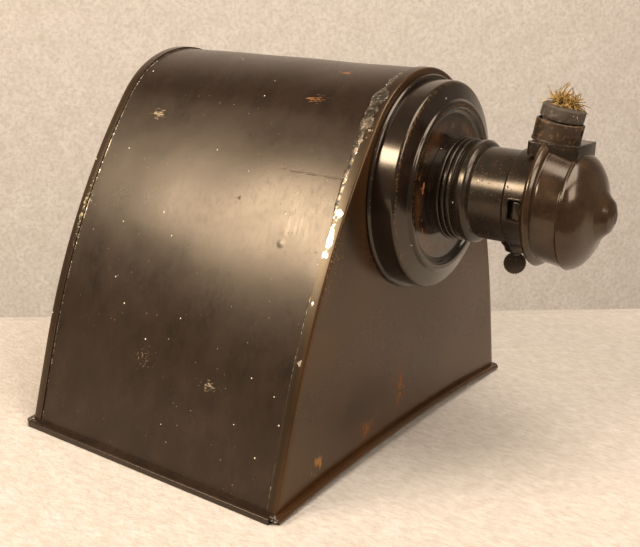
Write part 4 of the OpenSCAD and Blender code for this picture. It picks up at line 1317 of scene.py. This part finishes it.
@dataclass
class CordOutlet:
    """Turret, nipple, bushing and the frayed end of the cut cord."""

    bench: Bench
    turret_top: float = 21.5
    turret_width: float = 19.0
    lean: float = 8.0
    nipple: float = 8.3
    nipple_height: float = 7.2
    bushing: float = 7.6
    bushing_height: float = 5.0
    bushing_tilt: float = 3.0
    cord: float = 3.1
    strands: int = 210
    seed: int = 11

    def axle(self, extra: float = 0.0) -> Axle:
        """Return the outlet's leaning axis, leaned further where asked."""
        turn = Matrix.Rotation(math.radians(self.lean), 3, "Y")
        origin = Vector((LAMP_FACE + 50.9, 0, AXIS_Z + self.turret_top))
        along = turn @ Vector((0, 0, 1))
        if extra:
            origin = origin + along * (self.nipple_height + 0.1)
            along = Matrix.Rotation(math.radians(extra), 3, "Y") @ along
        away = Vector((0, 1, 0)).cross(along)
        return Axle(origin, along, away)

    def build(self) -> None:
        """Build and dress every piece of the outlet."""
        self.turret()
        self.nipple_and_screw()
        self.bush()
        self.frayed_end()

    def turret(self) -> None:
        """Flat-topped turret, with an open underside that follows the cap."""
        half = self.turret_width / 2
        start, end = LAMP_FACE + 44.0, LAMP_FACE + 62.2
        outline = [
            (start, 1.2 - half), (start + 1.2, -half), (end, 0.5 - half), (end, half - 0.5),
            (start + 1.2, half), (start, half - 1.2),
        ]
        low = 15.2
        foot = [Vector((x, y, AXIS_Z + low)) for x, y in outline]
        mesh = self.bench.slab(foot, Vector((0, 0, self.turret_top + 0.2 - low)), 0.35)
        room = [Vector(p) for p in ((40, 0), (40, 19.15), (49.2, 19.15), (49.2, 0))]
        under = self.bench.turn(LAMP_AXLE, room, False)
        self.bench.finish(
            mesh, "turret", Body.LAMP_UNIT, "tarnished_cap", Finishes.BRONZED, ["holder_cap"],
            cutters=[under],
        )

    def nipple_and_screw(self) -> None:
        """Nipple with a lip inside its mouth, and a set screw in its side."""
        r, top = self.nipple, self.nipple_height
        profile = rounded(
            [
                (-0.3, r - 1.6), (-0.3, r + 0.25), (0.35, r + 0.2, 0.3), (0.7, r, 0.2),
                (top - 0.3, r, 0.4), (top, r - 0.4, 0.3), (top, r - 0.8, 0.2),
                (top - 1.3, r - 0.8, 0.1), (top - 1.4, r - 1.6),
            ]
        )
        axle = self.axle()
        mesh = self.bench.turn(axle, profile)
        self.bench.ripple(mesh, 0.1, 5.0)
        side = Axle(axle.at(4.4, 0), axle.away, axle.along)
        bore = [Vector(p) for p in ((5, 0), (5, 1.3), (10, 1.3), (10, 0))]
        hole = self.bench.turn(side, bore, False, 40)
        self.bench.finish(mesh, "nipple", Body.LAMP_UNIT, "bronzed_brass", Finishes.NIPPLE,
            replaces=["cord_nipple"], cutters=[hole])
        screw = rounded([(r - 1.9, 0), (r - 1.9, 1.2, 0.2), (r - 0.55, 1.2, 0.25), (r - 0.5, 0)])
        mesh = self.bench.turn(side, screw, False, 40)
        slot = self.bench.slab(
            [side.at(r - 0.85, 2.0, a) for a in (80, 100, 260, 280)], side.along * 1.5, 0.0
        )
        self.bench.finish(mesh, "headless_screw", Body.LAMP_UNIT, "bare_steel", replaces=["set_screw"],
            cutters=[slot])

    def bush(self) -> None:
        """Hard fibre bushing that sits askew in the nipple."""
        head, tall = self.bushing, self.bushing_height
        profile = rounded(
            [
                (-3.5, self.cord + 0.1), (-3.5, self.nipple - 2.0, 0.3), (0.4, self.nipple - 2.0),
                (0.5, head - 0.1, 0.35), (1.5, head + 0.05, 0.5), (tall - 0.5, head - 0.1, 0.4),
                (tall, head - 0.8, 0.35), (tall + 0.1, self.cord + 1.0, 0.4),
                (tall - 0.5, self.cord + 0.1),
            ],
            5,
        )
        mesh = self.bench.turn(self.axle(self.bushing_tilt), profile, steps=96)
        self.bench.ripple(mesh, 0.14, 4.0, seed=4.0)
        self.bench.finish(mesh, "bushing", Body.LAMP_UNIT, "bushing_fibre", replaces=["cord_bushing"])

    def frayed_end(self) -> None:
        """Short braided stump of the cord and its loose cotton strands."""
        axle = self.axle(self.bushing_tilt)
        base = self.bushing_height
        stump = rounded(
            [
                (-4.0, 0), (-4.0, self.cord, 0.3), (base + 1.2, self.cord - 0.2, 0.8),
                (base + 2.0, 1.0, 0.5), (base + 2.0, 0),
            ]
        )
        mesh = self.bench.turn(axle, stump, False, 48)
        self.bench.ripple(mesh, 0.5, 1.2)
        self.bench.finish(mesh, "cord_stump", Body.LAMP_UNIT, "cotton_cord", replaces=["cord_stub"])
        draw = random.Random(self.seed)
        whole = bmesh.new()
        for _ in range(self.strands):
            turn = draw.uniform(0, 360)
            start = axle.at(base + draw.uniform(-0.6, 1.2), self.cord * math.sqrt(draw.random()) * 0.95, turn)
            tilt = math.radians(draw.triangular(0, 104, 62))
            outward = (axle.at(0, 1, turn) - axle.origin).normalized()
            way = (axle.along * math.cos(tilt) + outward * math.sin(tilt)).normalized()
            length = draw.triangular(3.0, 8.2, 4.8)
            curl = Vector([draw.uniform(-1, 1) for _ in range(3)]) * 3.4
            thick = draw.uniform(0.18, 0.34)
            rows = []
            count = 9
            point = start.copy()
            for k in range(count + 1):
                t = k / count
                side = way.orthogonal().normalized()
                other = way.cross(side)
                radius = thick * (1 - 0.55 * t)
                thirds = (0.0, math.tau / 3, 2 * math.tau / 3)
                rows.append([point + (side * math.cos(a) + other * math.sin(a)) * radius for a in thirds])
                way = (way + curl * 0.16 + Vector((0, 0, -0.04 * t))).normalized()
                point = point + way * length / count
            strand = self.bench.loft(rows)
            bmesh.ops.recalc_face_normals(strand, faces=strand.faces[:])
            data = stored(strand, "strand")
            whole.from_mesh(data)
            bpy.data.meshes.remove(data)
        self.bench.finish(whole, "frayed_strands", Body.LAMP_UNIT, "cotton_cord", replaces=["cord_stub"],
            sharp=80)


# ---------------------------------------------------------------- lens side


@dataclass
class LensTube:
    """Fixed sleeve and the two draws of the lens, set out from the slide stage."""

    bench: Bench
    stage_depth: float = 7.8
    sleeve: float = 17.0
    wall: float = 0.8
    sleeve_end: float = 19.8
    middle: float = 16.12
    middle_end: float = 21.4
    draw: float = 15.24
    lens_end: float = 23.0
    knurls: int = 90

    def build(self) -> None:
        """Build and dress the sleeve and the draws."""
        start = self.stage_depth
        sleeve = rounded(
            [
                (start, self.sleeve - self.wall), (start, self.sleeve + 0.8, 0.1),
                (start + 1.2, self.sleeve + 0.8, 0.4), (start + 1.3, self.sleeve, 0.3),
                (self.sleeve_end, self.sleeve, 0.25), (self.sleeve_end, self.sleeve - self.wall),
            ]
        )
        mesh = self.bench.turn(LENS_AXLE, sleeve)
        self.bench.finish(mesh, "sleeve", Body.HOUSE, "lacquered_brass", replaces=["lens_sleeve"])
        self.draw_tube("middle_tube", Body.MIDDLE_DRAW, self.middle, start + 0.3, self.middle_end,
            "middle_draw")
        self.draw_tube("lens_tube", Body.LENS, self.draw, start + 0.6, self.lens_end, "lens_draw")

    def draw_tube(self, name: str, body: Body, outer: float, start: float, end: float, node: str) -> None:
        """Tube with a knurled rim at its outer end.

        Args:
            name: Name of the piece.
            body: Body that it rides on.
            outer: Outside radius of the tube.
            start: Station of its inner end.
            end: Station of its outer end.
            node: CAD node that it stands for.
        """
        bore = outer - self.wall
        profile = rounded(
            [
                (start, bore), (start, outer, 0.15), (end - 1.3, outer),
                (end - 1.3, outer + self.wall, 0.15), (end - 1.0, outer + self.wall, 0.05),
                (end - 0.3, outer + self.wall, 0.05), (end, outer + self.wall - 0.25, 0.15),
                (end, bore + 0.1, 0.1), (end - 0.3, bore),
            ]
        )
        mesh = self.bench.turn(LENS_AXLE, profile, steps=2 * self.knurls)
        for vert in mesh.verts:
            off = Vector((0, vert.co.y, vert.co.z - AXIS_Z))
            tooth = round(math.atan2(off.y, off.z) / math.tau * 2 * self.knurls) % 2
            if tooth and off.length > outer + self.wall - 0.1:
                vert.co -= off.normalized() * 0.18
        self.bench.finish(mesh, name, body, "lacquered_brass", replaces=[node], sharp=30)


# ---------------------------------------------------------------- studio


@dataclass
class Studio:
    """Pale floor and backdrop, soft lights and the camera."""

    camera_at: Triple = (199.157, -315.691, 171.009)
    azimuth: float = 33.4173
    elevation: float = 16.4732
    roll: float = 2.3563
    lens: float = 53.04
    felt_turn: float = 43.0
    felt_half: float = 2.4

    def camera(self) -> None:
        """Set up the camera."""
        az, el, roll = (math.radians(a) for a in (self.azimuth, self.elevation, self.roll))
        back = Vector((math.sin(az) * math.cos(el), -math.cos(az) * math.cos(el), math.sin(el)))
        level = Vector((0, 0, 1)).cross(back).normalized()
        up = back.cross(level)
        right = level * math.cos(roll) + up * math.sin(roll)
        top = up * math.cos(roll) - level * math.sin(roll)
        data = bpy.data.cameras.new("camera")
        data.lens, data.sensor_width = self.lens, 36.0
        data.clip_start = 0.01
        camera = placed("camera", data)
        rotation = Matrix((right, top, back)).transposed().to_4x4()
        camera.matrix_world = Matrix.Translation(Vector(self.camera_at) * MM) @ rotation
        bpy.context.scene.camera = camera

    def backdrop(self) -> None:
        """Felt-covered table with a felt backdrop behind it."""
        felt = Finish(
            "wool_felt", "bdb6ae", "cac4bd", mottle_mm=9.0, roughness=(0.9, 1.0), bump_mm=0.4,
            grain_mm=1.4,
            stains=(Stain("b3aaa0", 0.3, 2.2, roughness=0.95, stretch=(0.5, 1, 1), soft=0.14),),
        )
        self.sheet("floor", felt, [(-0.26, 0.0), (0.12, 0.0), (0.135, -0.003), (0.15, -0.012), (0.16, -0.3)])
        wall = Finish(
            "hanging_wool_felt", "dcd6d0", "e8e3df", mottle_mm=26.0, roughness=(0.9, 1.0),
            bump_mm=0.6, grain_mm=3.4,
            stains=(Stain("c9c2bc", 0.3, 5.0, roughness=0.95, soft=0.16),),
        )
        self.sheet("backdrop", wall, [(0.95, -0.9), (0.95, 1.6)])

    def sheet(self, name: str, finish: Finish, path: Sequence[Pair]) -> None:
        """Lay one wide sheet of felt along a path in the (y, z) plane."""
        mesh = bmesh.new()
        verts = Bench.wire(mesh, [Vector((-self.felt_half, y, z)) for y, z in path], False)
        made = bmesh.ops.extrude_edge_only(mesh, edges=mesh.edges[:])["geom"]
        bmesh.ops.translate(mesh, verts=[g for g in made if isinstance(g, bmesh.types.BMVert)],
            vec=(2 * self.felt_half, 0, 0))
        turn = Matrix.Rotation(math.radians(self.felt_turn), 4, "Z")
        bmesh.ops.transform(mesh, matrix=turn, verts=mesh.verts[:])
        bmesh.ops.recalc_face_normals(mesh, faces=mesh.faces[:])
        data = stored(mesh, name)
        data.materials.append(finish.make())
        piece = placed(name, data)
        log.info("%s: %d points", name, len(verts))

    def light(self, name: str, at: Triple, aim: Triple, size: Pair, power: float, colour: str) -> None:
        """Hang one soft rectangular light, aimed at a point."""
        data = bpy.data.lights.new(name, "AREA")
        data.shape, data.size, data.size_y = "RECTANGLE", size[0], size[1]
        data.energy, data.color = power, linear(colour)[:3]
        lamp = placed(name, data)
        lamp.location = at
        lamp.rotation_euler = (Vector(aim) - Vector(at)).to_track_quat("-Z", "Y").to_euler()

    def lights(self) -> None:
        """Hang the lights and set the room's own glow."""
        self.light("key_softbox", (-0.62, -0.98, 0.79), (0.02, -0.05, 0.1), (0.62, 0.32), 21.0, "ffeacf")
        self.light("high_softbox", (0.4, -0.1, 1.2), (0.06, 0.15, 0.05), (0.9, 0.8), 16.0, "fff1e2")
        self.light("side_softbox", (0.95, -0.35, 0.7), (0.0, 0, 0.08), (0.5, 0.5), 6.5, "ffeedb")
        world = bpy.data.worlds.new("room")
        bpy.context.scene.world = world
        bpy.context.scene.view_settings.view_transform = "Standard"
        world.use_nodes = True
        world.node_tree.nodes["Background"].inputs[0].default_value = linear("e8d6c0")
        world.node_tree.nodes["Background"].inputs[1].default_value = 0.3


# ---------------------------------------------------------------- assembly


def corners(box: Sequence[Sequence[float]]) -> list[list[float]]:
    """Return a box as plain lists of numbers."""
    return [[float(v) for v in corner] for corner in box]


def dress_frame(finishes: Finishes) -> None:
    """Give each CAD node that still shows the finish of its slot.

    Args:
        finishes: The finishes to dress with.
    """
    slots = {part["node"]: part["material_slot"] for part in frame["record"]["subparts"]}
    for name, node in frame["nodes"].items():
        material = finishes.get(Finishes.BY_SLOT[slots[name]])
        if not node.material_slots:
            node.data.materials.append(material)
        for slot in node.material_slots:
            slot.material = material
        log.info("%s: CAD node dressed as %s", name, material.name)


def main() -> None:
    """Build the lantern's sub-assemblies in order and dress what is left."""
    logging.basicConfig(level=logging.INFO, format="%(message)s")
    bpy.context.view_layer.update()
    finishes = Finishes()
    bench = Bench(finishes)
    studio = Studio()
    studio.camera()
    for assembly in (LampHouse, LampCover, LampHolder, SwitchKey, CordOutlet, LensTube):
        assembly(bench).build()
        log.info("built %s", assembly.__name__)
    dress_frame(finishes)
    studio.backdrop()
    studio.lights()


if __name__ == "__main__":
    main()
